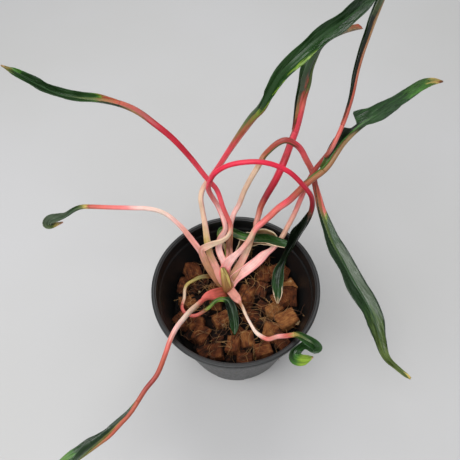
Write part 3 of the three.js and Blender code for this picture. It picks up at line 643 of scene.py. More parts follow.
def tube_piece(name, rings, along, angle, at, radius, material):
    """A closed tube. Marks tell how far along its skin each point is, how far to the side and up
    it is on the round, and where it would lie if the tube were straight."""
    count = rings.shape[1]
    points = np.vstack([rings.reshape(-1, 3), rings[0].mean(0), rings[-1].mean(0)])
    faces = ring_faces(len(rings), count)
    foot, tip, last = len(points) - 2, len(points) - 1, (len(rings) - 1) * count
    for side in range(count):
        after = (side + 1) % count
        faces += [(foot, after, side), (tip, last + side, last + after)]
    across, up = np.tile(np.sin(angle), len(rings)), np.tile(np.cos(angle), len(rings))
    wide = np.repeat(radius, count)
    way = np.stack([wide * across, np.repeat(at, count), wide * up], 1)
    return mesh_piece(name, points, faces, material, {
        "along": np.append(np.repeat(along, count), [along[0], along[-1]]),
        "side": np.append(across, [0, 0]), "up": np.append(up, [0, 0]),
        "way": np.vstack([way, (0, at[0], 0), (0, at[-1], 0)])})


def stalk(leaf, name, skin):
    """The stalk's piece, from inside the stem to the blade, closed at both ends."""
    stations = leaf_frame(leaf)
    rings, along, angle, radius = stalk_rings(leaf, *stations)
    last = stations[4] + 1
    return tube_piece(name + "_petiole", rings[:last], along[:last], angle, stations[0][:last],
                      radius[:last], skin)


def blade(leaf, name, skin, sheet):
    """The blade's piece: a thin folded sheet with waved, pleated halves, and the midrib under
    it. Marks give how far along and across each point is, and which side it is on."""
    stations = leaf_frame(leaf)
    rings, along, angle, radius = stalk_rings(leaf, *stations)
    first = stations[4]
    whole, total = stations[0][first], stations[0][-1]
    at, centre, tangent, looks = (a[first - 2:] for a in stations[:4])
    share = np.clip((at - whole) / (total - whole), 0, 1)
    across = np.cross(tangent, looks)
    seed = sum(ord(letter) for letter in name)
    columns = [(0, *[0 * share] * 4)]
    for way, half in ((-1, "left"), (1, "right")):
        width = np.maximum(run_of(leaf[half], share), 0.35) * MM
        width = np.where(at < whole, 0.55 * radius[first], width)
        fold = run_of(leaf["fold_" + half], share)
        sweep = run_of(leaf["sweep_" + half], share) * MM
        ripple = WAVE * np.sin(share * leaf["waves"] * 2 * math.pi + (0.6 if way > 0 else 0))
        ripple = ripple * np.sin(share * math.pi) * leaf["ripple"]
        side, up = np.zeros_like(share), np.zeros_like(share)
        for strip in range(1, HALF_STRIPS + 1):
            out = strip / HALF_STRIPS
            lean = np.radians(fold * (0.7 + 0.6 * out) + way * ripple * out ** 2)
            side = side + width / HALF_STRIPS * np.cos(lean)
            up = up + width / HALF_STRIPS * np.sin(lean)
            crease = np.array([noise.noise(Vector((a / CREASE, way * out * 3.4, seed)))
                               + 0.3 * noise.noise(Vector((a / FINE_CREASE, way * out * 2, seed)))
                               for a in at])
            pleat = np.sin((at - out * width * 1.6) / PLEAT_STEP * 2 * math.pi)
            lift = (leaf["crease"] * crease * out + leaf["pleat"] * pleat * 4 * out * (1 - out))
            lift = lift * MM * np.minimum(1, share * 8)
            columns.append((way * out, way * side - way * lift * np.sin(lean),
                            up + lift * np.cos(lean), way * lean, sweep * out ** 2))
    columns.sort(key=lambda column: column[0])
    top, under = [], []
    for where, side, up, lean, sweep in columns:
        top.append(centre + across * side[:, None] + looks * up[:, None]
                   + tangent * sweep[:, None])
        down = across * np.sin(lean)[:, None] - looks * np.cos(lean)[:, None]
        under.append(top[-1] + BLADE_THICKNESS * (1 - 0.5 * where ** 2) * down)
    points = np.stack([*top, *under[::-1]], 1)
    count, half = points.shape[1], len(columns)
    faces = ring_faces(len(points), count)
    last = (len(points) - 1) * count
    for i in range(half - 1):
        j = count - 1 - i
        faces += [(i + 1, i, j, j - 1), (last + i, last + i + 1, last + j - 1, last + j)]
    where, wide = (np.array([column[k] for column in columns]) for k in (0, 1))
    piece = mesh_piece(name + "_lamina", points.reshape(-1, 3), faces, sheet, {
        "along": np.repeat(1 + share, count),
        "across": np.tile([*where, *where[::-1]], len(points)),
        "top": np.tile(np.repeat([1, 0], half), len(points)),
        "way": np.stack([np.concatenate([wide, wide[::-1]]).T.ravel(), np.repeat(at, count),
                         np.full(points.size // 3, seed * MM)], 1)})
    rib = tube_piece(name + "_rib", rings[first:], along[first:], angle, stations[0][first:],
                     np.maximum(radius[first:], 1e-5), skin)
    with bpy.context.temp_override(active_object=piece, object=piece,
                                   selected_editable_objects=[piece, rib]):
        bpy.ops.object.join()
    return piece


def tones(text, span):
    """Stops of a colour ramp over a span, from a text of places and pigments, parted by commas.
    Where it says clear, the pigment before it fades out."""
    stops, pigment = [], "leaf"
    for stop in text.split(","):
        place, name = stop.split()
        pigment = pigment if name == "clear" else name
        stops.append(((float(place) - span[0]) / (span[1] - span[0]),
                      (*linear(PIGMENTS[pigment])[:3], float(name != "clear"))))
    return stops


def banded(tree, colour, part, span, streaks, where, bands):
    """Lays bands of other tones over a colour, parted by semicolons: each runs from one place
    across the skin to another, and its borders are ragged along the streaks."""
    ragged = add(tree, "Math", (streaks, 0.5), operation="SUBTRACT")
    moved = add(tree, "Math", (ragged, 0.5, where), operation="MULTIPLY_ADD")
    for band in filter(None, bands.split(";")):
        borders, stops = band.split(":")
        low, high = map(float, borders.split())
        ramp = add(tree, "ValToRGB", {"Fac": part}, stops=tones(stops, span))
        starts, ends = (add(tree, "MapRange", {"Value": moved, "From Min": border - soft,
                                               "From Max": border + soft})
                        for border, soft in ((low, 0.03), (high, -0.03)))
        inside = add(tree, "Math", (starts, ends), operation="MULTIPLY")
        share = add(tree, "Math", (inside, ramp.outputs["Alpha"]), operation="MULTIPLY")
        colour = add(tree, "Mix", {"Factor": share, 6: colour, 7: ramp},
                     data_type="RGBA").outputs[2]
    return colour


def pigmented(name, stops, span, jag):
    """The start of a leaf's material: its marks, its lengthwise streaks, and pigments along it
    that meet in ragged, streaky borders."""
    material, tree, shader = new_material(name)
    marks = {key: add(tree, "Attribute", attribute_name=key).outputs["Fac"]
             for key in ("along", "side", "up", "across", "top")}
    way = add(tree, "Attribute", attribute_name="way").outputs["Vector"]
    drawn = add(tree, "Mapping", {"Vector": way, "Scale": (1, 0.1, 1)})
    streaks = add(tree, "TexNoise",
                  {"Vector": drawn, "Scale": 1 / 0.0016, "Detail": 3, "Roughness": 0.6})
    centred = add(tree, "Math", (streaks, 0.5), operation="SUBTRACT")
    moved = add(tree, "Math", (centred, jag, marks["along"]), operation="MULTIPLY_ADD")
    part = add(tree, "MapRange", {"Value": moved, "From Min": span[0], "From Max": span[1]})
    tone = add(tree, "ValToRGB", {"Fac": part}, stops=tones(stops, span)).outputs["Color"]
    return material, tree, shader, marks, way, streaks, part, tone


def stalk_skin(name, stops, flanks="", crests=""):
    """Waxy skin of a fleshy leaf stalk. Pigment changes along it in fine lengthwise streaks, and
    its flanks or its crest may differ; wax gives it a satin shine."""
    material, tree, shader, marks, way, streaks, part, colour = pigmented(
        "waxy_stalk_" + name, stops, (0, 2), 0.16)
    colour = banded(tree, colour, part, (0, 2), streaks, marks["side"], flanks)
    colour = banded(tree, colour, part, (0, 2), streaks, marks["up"], crests)
    fine = add(tree, "Mapping", {"Vector": way, "Scale": (1, 0.05, 1)})
    lines = add(tree, "TexNoise", {"Vector": fine, "Scale": 1 / 0.0006, "Detail": 2})
    cloud = add(tree, "TexNoise", {"Vector": way, "Scale": 1 / 0.006, "Detail": 3})
    dash, blotch = (add(tree, "MapRange", {"Value": value, "From Min": 0.3, "From Max": 0.7,
                                           "To Min": low, "To Max": 1.08})
                    for value, low in ((lines, 0.86), (cloud, 0.9)))
    both = add(tree, "Math", (dash, blotch), operation="MULTIPLY")
    pigment = add(tree, "VectorMath", {0: colour, "Scale": both}, operation="SCALE")
    bump = add(tree, "Bump", {"Height": lines, "Strength": 0.3, "Distance": 0.0002})
    feed(shader, {"Base Color": pigment, "Normal": bump, "Roughness": 0.4, "IOR": 1.42,
                  "Subsurface Weight": 0.12, "Subsurface Radius": (0.002, 0.0008, 0.0005),
                  "Subsurface Scale": 1})
    return material


def blade_skin(name, upper, under, bands="", edges="", jag=0.3, patches=0.3):
    """Leathery blade: glossy dark green above and duller below, mottled, and streaked lengthwise
    with painted glints, lighter and darker.
    bands lie at places from the left margin at -1 to the right one at 1, and edges from the
    midrib at 0 to both margins at 1."""
    material, tree, shader, marks, way, streaks, part, colour = pigmented(
        "leathery_blade_" + name, upper, (1, 2), jag)
    below = add(tree, "ValToRGB", {"Fac": part}, stops=tones(under, (1, 2)))
    both = add(tree, "Mix", {"Factor": marks["top"], 6: below, 7: colour}, data_type="RGBA")
    soft = add(tree, "Mapping", {"Vector": way, "Scale": (1, 0.3, 1)})
    cloud = add(tree, "TexNoise", {"Vector": soft, "Scale": 1 / 0.004, "Detail": 4})
    light = add(tree, "MapRange", {"Value": cloud, "From Min": 0.3, "From Max": 0.72,
                                   "To Min": 1 - patches, "To Max": 1 + patches})
    # Painted highlight: lengthwise streaks lighten the colour as glints and darken it between them.
    painted_glint_streaks = add(tree, "MapRange", {"Value": streaks, "From Min": 0.35, "From Max": 0.68,
                                   "To Min": 0.72, "To Max": 1.3})
    varied = add(tree, "Math", (light, painted_glint_streaks), operation="MULTIPLY")
    colour = add(tree, "VectorMath", {0: both.outputs[2], "Scale": varied},
                 operation="SCALE").outputs[0]
    out = add(tree, "Math", (marks["across"],), operation="ABSOLUTE")
    colour = banded(tree, colour, part, (1, 2), streaks, marks["across"], bands)
    colour = banded(tree, colour, part, (1, 2), streaks, out, edges)
    rough = add(tree, "MapRange", {"Value": cloud, "From Min": 0.35, "From Max": 0.65,
                                   "To Min": 0.14, "To Max": 0.5})
    drawn = add(tree, "Mapping", {"Vector": way, "Scale": (1, 0.14, 1)})
    wrinkles = add(tree, "TexNoise", {"Vector": drawn, "Scale": 1 / 0.0021, "Detail": 3})
    bump = add(tree, "Bump", {"Height": wrinkles, "Strength": 1, "Distance": 0.0015})
    feed(shader, {"Base Color": colour, "Roughness": rough, "Normal": bump, "IOR": 1.45})
    return material


def grow(name, stalk_tones, upper, under, flanks="", crests="", bands="", edges="", jag=0.3,
         patches=0.3, **sizes):
    """A leaf's two pieces, in the place of its CAD nodes."""
    leaf = shaped(**sizes)
    skin = stalk_skin(name, stalk_tones, flanks, crests)
    sheet = blade_skin(name, upper, under, bands, edges, jag, patches)
    set_in(stalk(leaf, name, skin), "pink_stalk", name + "_stalk", "crown")
    set_in(blade(leaf, name, skin, sheet), "leaf_blade", name + "_blade")


# Long leaf that reaches far out to the left. Its stalk goes from cream over red to orange, and
# its blade is a narrow channel, open to the front, with a bright green patch near its tan tip.
grow(
    "long_left", blade_at=18, sheath=42, waves=4,
    route="""-15 18 80, -25 27 94, -30 34 106, -31 37 112, -27 37 116, -20 38 120, -12 38 124,
    -6 40 128, -3 44 132, -3 47 137, -5 50 142, -9 55 152, -14 65 165, -22 68 177, -35 73 199,
    -48 79 215, -60 84 225, -74 93 231, -88 100 233, -105 107 232, -121 112 230, -143 120 229,
    -166 135 229, -186 149 230, -201 159 231""",
    girth="0 2.6, 30 2.5, 62 2.4, 84 2.1, 140 2.2, 200 2.5, 244 2.7", strap="60 1, 84 0",
    width="0 2.7, .17 5.4, .33 6.4, .66 6.2, .78 5.4, .86 4.2, .92 2.2, 1 .4",
    fold="50, 50, 50, 50, 48, 45, 30", face=".2 -.55 .8",
    stalk_tones="""0 olive, .06 clay, .16 sand, .22 blush, .28 cream, .34 cream, .4 salmon,
    .5 coral, .64 coral, .7 scarlet, .84 scarlet, .9 brick, 1 rust, 1.1 amber, 1.2 moss,
    1.4 leaf""", flanks="-1.4 -.5: .88 clear, .94 amber, 1 deep",
    upper="""1.1 rust, 1.12 lime, 1.15 spring, 1.2 leaf, 1.6 deep, 1.84 leaf, 1.9 moss,
    1.95 olive, 2 tan""", under="1 olive, 1.2 sage, 1.7 leaf, 1.9 spring, 2 tan",
    bands=""".2 1.3: 1.78 clear, 1.8 spring, 1.88 spring, 1.92 clear; -1.3 -.45: 1.13 deep,
    1.16 clear; -.45 -.3: 1.1 straw, 1.14 clear""")


# Large leaf at the back. It leans out to the right, and its wide blade's end is folded over the
# tall leaf's. Its right edge has pale yellow-green patches.
grow(
    "big_back", blade_at=13, sheath=35, waves=5,
    route="""-13 19 83, -19 30 95, -23 36 102, -25 43 110, -27 57 124, -29 68 134, -30 75 143,
    -27 81 150, -21 84 158, -13 85 171, -2 84 194, 9 81 218, 17 77 236, 23 71 250, 28 70 264,
    34 71 276, 41 71 286, 51 76 293, 62 83 298, 74 91 301, 86 102 303, 100 122 302, 117 143 298""",
    girth="0 2.6, 34 2.6, 60 2.4, 150 2.5, 200 3.3, 230 3.4", strap="54 1, 80 0",
    left="0 3.8, .08 4.4, .11 5.8, .25 6.6, .5 7, .75 6.6, .9 5.2, 1 .6",
    right="3.6, 5.4, 6.8, 7, 7, 7, 6.6, 5.5, .6", fold="55, 48, 40, 36, 36, 38, 42, 48, 40",
    face="-.2 -.9 .5, -.2 -.8 .6, 0 -.6 .8",
    stalk_tones="""0 clay, .06 blush, .12 blush, .18 sand, .24 straw, .32 buff, .46 cream,
    .53 blush, .58 coral, .72 coral, .82 rust, .9 amber, .98 lime, 1.02 leaf""",
    flanks="""-1.4 -.35: .72 clear, .8 amber, .88 moss, 1 leaf; .6 1.4: 0 clear, .5 petal,
    .6 rose, .8 rose, .95 amber, 1.1 clear""", upper="1.3 leaf, 1.7 deep, 1.85 leaf, 2 spring",
    under="1 leaf, 1.4 sage, 2 spring",
    bands=""".66 1.4: 1 lime, 1.04 leaf, 1.13 leaf, 1.15 lime, 1.17 leaf, 1.25 leaf, 1.27 lime,
    1.31 spring, 1.33 lime, 1.38 leaf, 1.42 clear""")


# Leaf behind the tall one, folded nearly shut, so that its underside and red rib show. It ends
# in a thick brown tip.
grow(
    "folded_back", blade_at=13, sheath=33, rib_end=0.6, waves=3,
    route="""-4 21 83, 3 29 91, 8 35 97, 12 41 103, 19 53 115, 21 59 122, 24 65 129, 25 68 133,
    31 75 143, 39 82 156, 44 88 165, 49 96 174, 52 100 183, 56 105 194, 58 108 209, 60 112 223,
    63 114 236, 64 115 249, 68 121 255, 74 130 259, 81 137 260, 91 147 258, 101 156 255,
    112 163 253""", girth="0 3, 32 2.7, 60 2.5, 84 3.2, 130 3.7, 164 3.4", strap="48 1, 70 0",
    width="""0 3.4, .11 4.6, .22 6, .33 7.8, .44 8.6, .56 7.4, .67 5.2, .8 3.5, .86 2.2, .92 4.2,
    .97 4, 1 1.2""", fold="60, 65, 68, 68, 62, 55, 55, 52, 50, 40",
    face="-1 -.1 .1, -1 -.2 .3, -.4 -.4 .8",
    stalk_tones="""0 clay, .12 sand, .2 blush, .28 cream, .36 sand, .44 blush, .52 rust,
    .6 garnet, .7 scarlet, .8 crimson, .9 scarlet, 1 brick, 1.1 brick, 1.2 rust, 1.36 amber,
    1.48 moss, 1.6 leaf""",
    flanks=""".3 1.4: .8 clear, .88 coral, 1.12 coral, 1.2 salmon, 1.26 rust, 1.3 moss, 2 leaf;
    -1.4 -.6: .84 clear, .9 garnet, 1.12 garnet, 1.2 umber, 1.3 clear""",
    upper="1 brick, 1.1 dark, 1.5 leaf, 1.8 sage, 1.9 tan, 2 rust",
    under="""1 rust, 1.08 umber, 1.18 amber, 1.28 sage, 1.6 leaf, 1.8 sage, 1.88 tan, 1.94 clay,
    2 rust""",
    bands="-.2 .55: 1.12 coral, 1.2 salmon, 1.26 rust, 1.3 sage, 1.36 rust, 1.4 clear")


# Arched leaf: its crimson stalk rises, bends over in a wide arch and comes down on the right,
# where the very dark blade hangs into the pot with a twisted waist.
grow(
    "arched", blade_at=23, sheath=32, waves=3,
    route="""-10 21 85, -10 31 97, -13 35 103, -15 41 109, -13 46 117, -11 48 120, -8 50 125,
    -9 55 132, -14 64 143, -18 64 155, -21 61 171, -19 58 184, -15 56 195, -7 54 205, 1 52 211,
    14 51 214, 24 51 213, 34 51 209, 45 50 202, 53 49 193, 59 49 184, 65 49 174, 68 49 163,
    68 48 152, 65 44 143, 60 41 131, 55 37 119, 49 32 108, 47 29 101, 43 23 95, 41 14 90, 40 4 85,
    39 -6 81""", girth="0 2.6, 30 2.5, 52 2.4, 70 2.3, 270 2.4", strap="48 1, 66 0",
    left="2.6, 6, 7.5, 7, 4, 5, 6.5, 6, .6",
    right="0 2.6, .12 6.4, .25 9.2, .36 8.4, .48 4, .6 4.6, .72 6.8, .8 7, .92 4.6, 1 .6",
    fold="60, 60, 60, 62, 60, 45, 35, 40, 30", face="-.8 -.5 .2, -.6 -.6 .5, -.1 -.4 .9",
    stalk_tones="""0 clay, .06 blush, .24 blush, .32 rose, .42 coral, .52 crimson, .78 crimson,
    .9 scarlet, .96 garnet, 1 umber, 1.06 dark""",
    crests=".55 1.3: 0 clear, .04 petal, .3 petal, .4 rose, .5 clear",
    upper="1 umber, 1.06 dark, 1.55 dark, 1.7 deep, 1.94 leaf, 2 tan",
    under="1 umber, 1.1 dark, 1.6 deep, 2 tan", edges=".86 1.3: 1.84 clear, 1.92 cream",
    patches=0.5)


# Tall leaf on the right. A broad pale pink sheath lies on the front of the crown, and its narrow
# blade stands folded behind a salmon rib.
grow(
    "tall_right", blade_at=14, sheath=33, waves=4,
    route="""-6 15 78, -1 21 83, 10 26 90, 22 32 97, 28 36 101, 36 40 105, 45 47 114, 50 53 122,
    56 60 132, 62 68 147, 67 74 161, 73 79 173, 78 81 181, 83 77 202, 90 86 217, 92 88 232,
    93 90 245, 95 98 257, 98 105 268, 103 115 276, 110 130 281, 119 149 284, 129 172 285,
    143 203 282""", girth="0 2.6, 14 3.8, 54 3.8, 64 2.7, 110 2.6, 204 1.9",
    strap="54 1, 72 0", width="1.9, 1.9, 2.8, 3.8, 4.8, 5.6, 5.8, 5, .6",
    fold="65, 68, 70, 70, 68, 62, 58, 50, 40", face="-1 -.1 .2, -1 -.3 .3, -.5 -.5 .7",
    stalk_tones="""0 clay, .1 blush, .18 petal, .3 petal, .38 buff, .52 blush, .6 rose, .66 rust,
    .76 brick, .9 rust, 1 salmon, 1.2 rust, 1.4 brick, 1.6 amber""",
    flanks=""".55 1.4: .34 shell, .4 clear, .85 clear, .95 salmon, 1.2 rust, 1.5 tan, 1.8 clear;
    -1.4 -.7: .34 shell, .4 clear""", upper="1 rust, 1.1 deep, 1.6 deep, 1.9 leaf, 2 spring",
    under="1 rust, 1.1 dark, 1.5 dark, 1.7 moss, 2 spring",
    edges="0 .3: 1 rust, 1.5 amber, 1.7 clear")


# Leaf on the right whose blade is twisted over: first a dark hollow with a bright green line,
# then a waist, and then a broad, dull, waved sheet with a yellow and brown tip.
grow(
    "twisted_right", blade_at=12, sheath=36, rib_end=0.7, waves=4,
    route="""-11 24 89, -5 31 100, 5 36 109, 14 42 119, 20 48 128, 26 51 133, 33 54 139,
    41 58 146, 49.5 60 153, 57 63 161, 63.5 66 168, 71 69 174, 78 71 180, 82.5 74 185,
    87.5 80 190, 92 84 197, 96.5 85 205, 100.5 86 210, 109.5 92 213, 121 100 213, 134 112 211,
    147 125 208, 160 138 205, 175 152 201, 190 162 197, 202 166 194""",
    girth="0 2.8, 14 3.5, 26 3.4, 40 2.6, 60 2.7, 90 3.2, 152 3.3", strap="24 1, 44 0",
    left="""0 4.6, .08 7.4, .19 9, .225 8, .235 3.4, .275 3, .305 13, .325 12, .37 9.2, .43 8.4,
    .49 7, .59 5.6, .7 6, .82 5.6, .92 3.8, 1 .6""",
    right="""0 4.4, .1 4.8, .17 4.4, .245 2.8, .265 4, .3 9.6, .38 8.7, .49 7.4, .59 5.8, .7 6,
    .82 5.6, .92 3.8, 1 .6""", fold="0 66, .2 66, .26 42, .32 24, .5 24, .7 30, 1 34",
    sweep_left=".24 0, .3 -1.5, .36 0, 1 0", face="-.7 .1 .7, -.6 -.4 .7, .1 -.6 .8, .1 -.5 .8",
    stalk_tones="""0 clay, .1 rose, .18 petal, .26 petal, .34 blush, .42 buff, .48 rose,
    .56 salmon, .64 salmon, .72 coral, .8 rust, .88 rust, .96 amber, 1 amber, 1.1 tan, 1.2 tan,
    1.27 leaf""",
    flanks="""-1.4 .25: .84 clear, .9 moss, 1 spring, 1.26 spring, 1.4 leaf; .94 1.4: .6 clear,
    .66 rose, .82 rust, 1.2 tan, 1.26 clear""",
    upper="""1 moss, 1.06 deep, 1.22 dark, 1.3 leaf, 1.64 leaf, 1.72 spring, 1.88 spring,
    1.94 straw, 1.98 amber, 2 umber""",
    under="1 rust, 1.2 amber, 1.28 deep, 1.7 leaf, 1.94 straw, 2 umber",
    bands=""".1 .55: 1 amber, 1.14 rust, 1.24 clear; .72 1.4: 1 moss, 1.08 spring, 1.18 spring,
    1.24 clear""")


# Leaf that hangs down on the right, outside the pot: the widest blade, seen from above, with a
# fine light midrib. One half is painted dark as shade and is smooth; the other is painted pale
# grey-green as sheen, and is pleated.
grow(
    "hanging_right", blade_at=20, sheath=36, rib_end=0.9, waves=5, pleat=0.26, crease=0.8,
    route="""-8 24 86, -5 36 104, -5 42 111, -4 49 118, -3 56 127, -1 59 132, 1 62 136, 5 65 142,
    10 72 153, 17 77 167, 23 81 177, 27 83 186, 32 83 194, 39 84 201, 45 85 203, 51 85 200,
    59 87 190, 65 86 178, 71 85 166, 74 84 157, 76 80 149, 78 71 143, 80 60 137, 84 47 131,
    88 34 126, 96 17 120, 104 -1 114, 114 -19 107, 120 -35 101, 123 -49 95, 127 -62 89,
    137 -70 83, 147 -77 78""", girth="0 2.3, 36 2.5, 56 2.4, 228 2.8", strap="50 1, 74 0",
    left="""0 2.8, .11 4.6, .22 6.6, .33 8.4, .44 9, .56 9.2, .67 8.6, .78 5.4, .88 2.6, .97 1.8,
    1 .8""",
    right="""0 2.8, .11 6.5, .22 9, .33 9.8, .44 10.2, .55 11.3, .66 11.4, .74 9.6, .8 9, .86 5.2,
    .9 3.2, .97 2.2, 1 .9""", fold="50, 40, 32, 28, 28, 28, 32, 44, 40, 30",
    face=".5 -.4 .8, .1 -.4 .9, -.1 -.3 .95",
    stalk_tones="""0 clay, .06 blush, .13 blush, .18 umber, .25 clay, .29 petal, .34 petal,
    .4 buff, .52 cream, .58 sand, .64 rust, .72 brick, .78 coral, .88 salmon, .96 brick,
    1.04 rust, 1.1 amber, 1.16 moss, 1.4 leaf""",
    flanks="""-1.4 -.5: .7 clear, .76 crimson, 1 garnet, 1.1 clear; .5 1.4: .6 clear, .64 moss,
    .76 umber, .8 clear""",
    upper="1 rust, 1.05 olive, 1.12 leaf, 1.3 leaf, 1.6 leaf, 1.84 moss, 1.97 moss, 2 straw",
    under="1 rust, 1.1 moss, 1.3 sage, 1.9 moss, 2 straw",
    # Painted shade and painted sheen: the first band paints one half deep green as shade, and the
    # second paints the other half pale sage as the sheen of the light on it.
    bands=""".02 1.3: 1 umber, 1.06 deep, 1.55 deep, 1.68 clear; -1.3 -.02: 1.1 salmon, 1.14 lime,
    1.18 leaf, 1.3 leaf, 1.36 sage, 1.6 sage, 1.7 clear; -.05 .05: 1 rust, 1.12 lime, 1.2 sage,
    1.7 sage, 1.84 clear""", edges=".84 1.4: 1 clear, 1.12 deep, 1.8 deep, 1.9 clear")


# Leaf that lies out to the left and ends in a small green hook. Its stalk is pale pink.
grow(
    "hooked_left", blade_at=10, sheath=42, waves=2,
    route="""-18 23 81, -25 32 93, -33 41 104, -42 49 116, -49 55 124, -57 60 131, -64 63 136,
    -75 65 140, -94 67 140, -116 70 138, -135 73 136, -145 74 134, -153 72 131, -159 68 129,
    -166 66 128, -174 65 126, -177 62 124, -174 61 122, -170 64 121, -164 67 121""",
    girth="0 1.9, 50 2.1, 80 2.1, 172 2.1", strap="64 1, 90 0",
    width="0 2.4, .2 2.7, .36 3, .5 5.2, .62 6.4, .74 5.8, .86 3, 1 .5",
    fold="55, 50, 48, 45, 45, 45, 42, 30", face=".1 -.3 .95",
    stalk_tones=""".14 clay, .2 sand, .28 petal, .34 shell, .42 blush, .48 petal, .6 ivory,
    .72 petal, .8 rose, .92 salmon, 1 rust, 1.06 straw, 1.14 moss, 1.3 leaf""",
    crests=".9 1.3: 0 clear, .14 blush, .4 blush, .48 clear",
    upper="""1 rust, 1.06 straw, 1.12 moss, 1.2 leaf, 1.35 sage, 1.74 sage, 1.84 moss, 1.9 straw,
    1.96 tan, 2 blush""", under="1 olive, 1.2 leaf, 1.6 deep, 1.8 moss, 2 blush")


# Leaf that comes forward over the pot's lip to the left and out of the photograph. Its sheath is
# salmon, and its blade stays folded round the pink rib, whose paler blush stripe along one flank
# is a painted highlight.
grow(
    "front_left", blade_at=11, sheath=26, rib_end=1, waves=3,
    route="""-9 11 76, -19 5 84, -27 -3 92, -35 -14 100, -40 -22 106, -45 -32 112, -50 -42 117,
    -54 -54 121, -57 -66 122, -63 -82 120, -71 -91 117, -77 -99 113, -83 -107 110, -92 -115 106,
    -99 -121 102, -107 -126 99, -115 -131 96, -122 -135 93, -130 -139 91, -139 -143 89,
    -148 -145 88""", girth="0 3.8, 44 3.8, 54 2.7, 100 2.4, 157 2.1", strap="42 1, 62 0",
    width="0 1.6, .12 3, .3 5, .45 6.6, .58 9, .72 9, .86 6.5, 1 .6",
    fold="78, 76, 72, 66, 55, 40, 35, 30", face="-.8 .6 .2, -.8 .6 .2, -.5 .5 .6, -.1 .3 .95",
    stalk_tones="""0 umber, .1 rust, .18 salmon, .32 salmon, .38 buff, .5 ivory, .6 petal,
    .66 blush, .7 salmon, .8 rust, .9 brick, 1 rust, 1.35 rust, 1.5 amber, 1.6 olive, 1.8 moss""",
    # Painted highlight: a blush stripe along one flank of the rib.
    flanks=".7 1.4: .98 clear, 1.04 blush, 1.5 blush, 1.6 clear",
    upper="1 umber, 1.2 deep, 1.6 leaf, 2 spring",
    under="1 rust, 1.1 salmon, 1.2 amber, 1.36 olive, 1.5 moss, 2 spring",
    edges=".4 1.4: 1 moss, 1.1 deep, 1.6 deep, 1.7 leaf, 1.74 spring, 2 lime")


# Small leaf that loops round inside the pot, from olive over yellow and pink to dark green.
grow(
    "looped_in_pot", blade_at=12, sheath=31, waves=2,
    route="""-18 26 79, -27 24 84, -33 23 85, -42 19 84, -47 16 83, -49 11 81, -49 4 79,
    -51 -3 78, -51 -7 78, -47 -12 78, -40 -15 79, -35 -14 80, -29 -11 82, -23 -7 84, -19 -3 86,
    -13 -2 87, -8 -3 87, -5 -9 85, -3 -17 83, -2 -24 80, -2 -34 77""",
    girth="0 2.3, 30 1.8, 60 1.6, 101 1.8", left="1.9, 1.9, 2.2, 3, 5, 5.6, 5.4, 4.5, .6",
    right="1.9, 1.9, 2.4, 3.2, 5.4, 5.8, 5.4, 4.5, .6", fold="50, 50, 48, 42, 38, 38, 30",
    face=".2 -.5 .85, 0 -.5 .9",
    stalk_tones="""0 olive, .16 clay, .26 umber, .36 olive, .5 straw, .57 cream, .63 cream,
    .7 salmon, .9 salmon, 1 clay, 1.08 lime, 1.25 moss, 1.5 leaf""",
    upper="1 clay, 1.06 lime, 1.2 spring, 1.34 lime, 1.4 leaf, 1.5 dark, 1.7 deep, 2 leaf",
    under="1 amber, 1.15 spring, 1.4 deep, 2 leaf", bands="-.15 .15: 1.4 straw, 1.46 clear",
    jag=0.1)


# Leaf at the front whose stalk is sharply kinked. Its small blade is folded back on itself at
# the pot's lip, and ends bright yellow-green.
grow(
    "kinked_front", blade_at=10, sheath=26, waves=2,
    route="""-6 13 77, 0 1 84, 5 -9 88, 9 -21 90, 12 -28 91, 17 -38 92, 22 -42 92, 27 -45 93,
    34 -45 99, 42 -48 108, 48 -51 118, 51 -54 123, 56 -59 126, 61 -62 125, 63 -63 121, 62 -62 117,
    57 -59 115, 53 -58 116, 48 -62 118, 44 -66 117, 46 -69 115, 51 -70 113, 56 -69 112,
    61 -68 112""", girth="0 3.4, 28 3.2, 36 1.5, 60 1.4, 72 1.9, 115 2.1", strap="26 1, 36 0",
    width="2.4, 4.4, 5.4, 5, 4.4, 5, 6, 5, .6", fold="55, 50, 44, 44, 48, 44, 34, 28, 20",
    face="0 -.4 .9, .1 -.6 .8, .3 -.6 .7, 0 -.6 .8",
    stalk_tones="""0 clay, .16 blush, .28 blush, .32 clay, .38 cream, .5 ivory, .62 ivory,
    .68 salmon, .76 blush, .82 shell, .92 salmon, 1 straw, 1.08 moss, 1.3 leaf""",
    upper="1 straw, 1.06 leaf, 1.72 leaf, 1.8 spring, 1.86 lime, 1.97 lime, 2 blush",
    under="1 moss, 1.2 leaf, 1.76 leaf, 1.82 lime, 1.97 lime, 2 blush", jag=0.1)


# Low leaf behind the crown, dark green with a pale margin, on a short hidden stalk.
grow(
    "low_back", blade_at=3, sheath=26, waves=2,
    route="""-7 28 84, -6 40 91, -10 52 95, -15 59 99, -13 66 102, -2 62 103, 9 57 102, 20 54 102,
    30 50 107, 38 41 116, 48 34 121""", girth="0 2.4, 26 2.1, 52 2",
    width="2.2, 4.2, 5, 5.4, 5.6, 5.6, 5.2, 4", fold="50, 45, 40, 36, 34, 32, 25", face="0 -.4 .9",
    stalk_tones="0 olive, .5 blush, 1 moss, 2 leaf",
    upper="1 lime, 1.1 spring, 1.3 deep, 1.4 spring, 1.5 leaf", under="1 sage, 2 sage",
    bands=".8 1.3: 1 spring, 1.3 moss, 1.4 cream")


# Rolled young leaf in the middle of the crown: olive green, furled into a tight spike that a
# sheath half wraps.
rolled = stalk(shaped(
    blade_at=3, sheath=20, groove=0.5, route="-8 25 82, -7 31 92, -7 40 99, -7 47 105",
    strap="0 0, 1 0", girth="0 3.4, 24 3, 40 2.3, 48 1.6, 53 .5", face=".3 -.6 .7"),
    "rolled_leaf", stalk_skin("rolled_leaf", ".4 olive, .7 moss, .9 straw, 1 tan",
                              crests=".4 1.3: 0 straw, .6 lime"))
set_in(rolled, "young_leaf", "new_leaf", "crown")
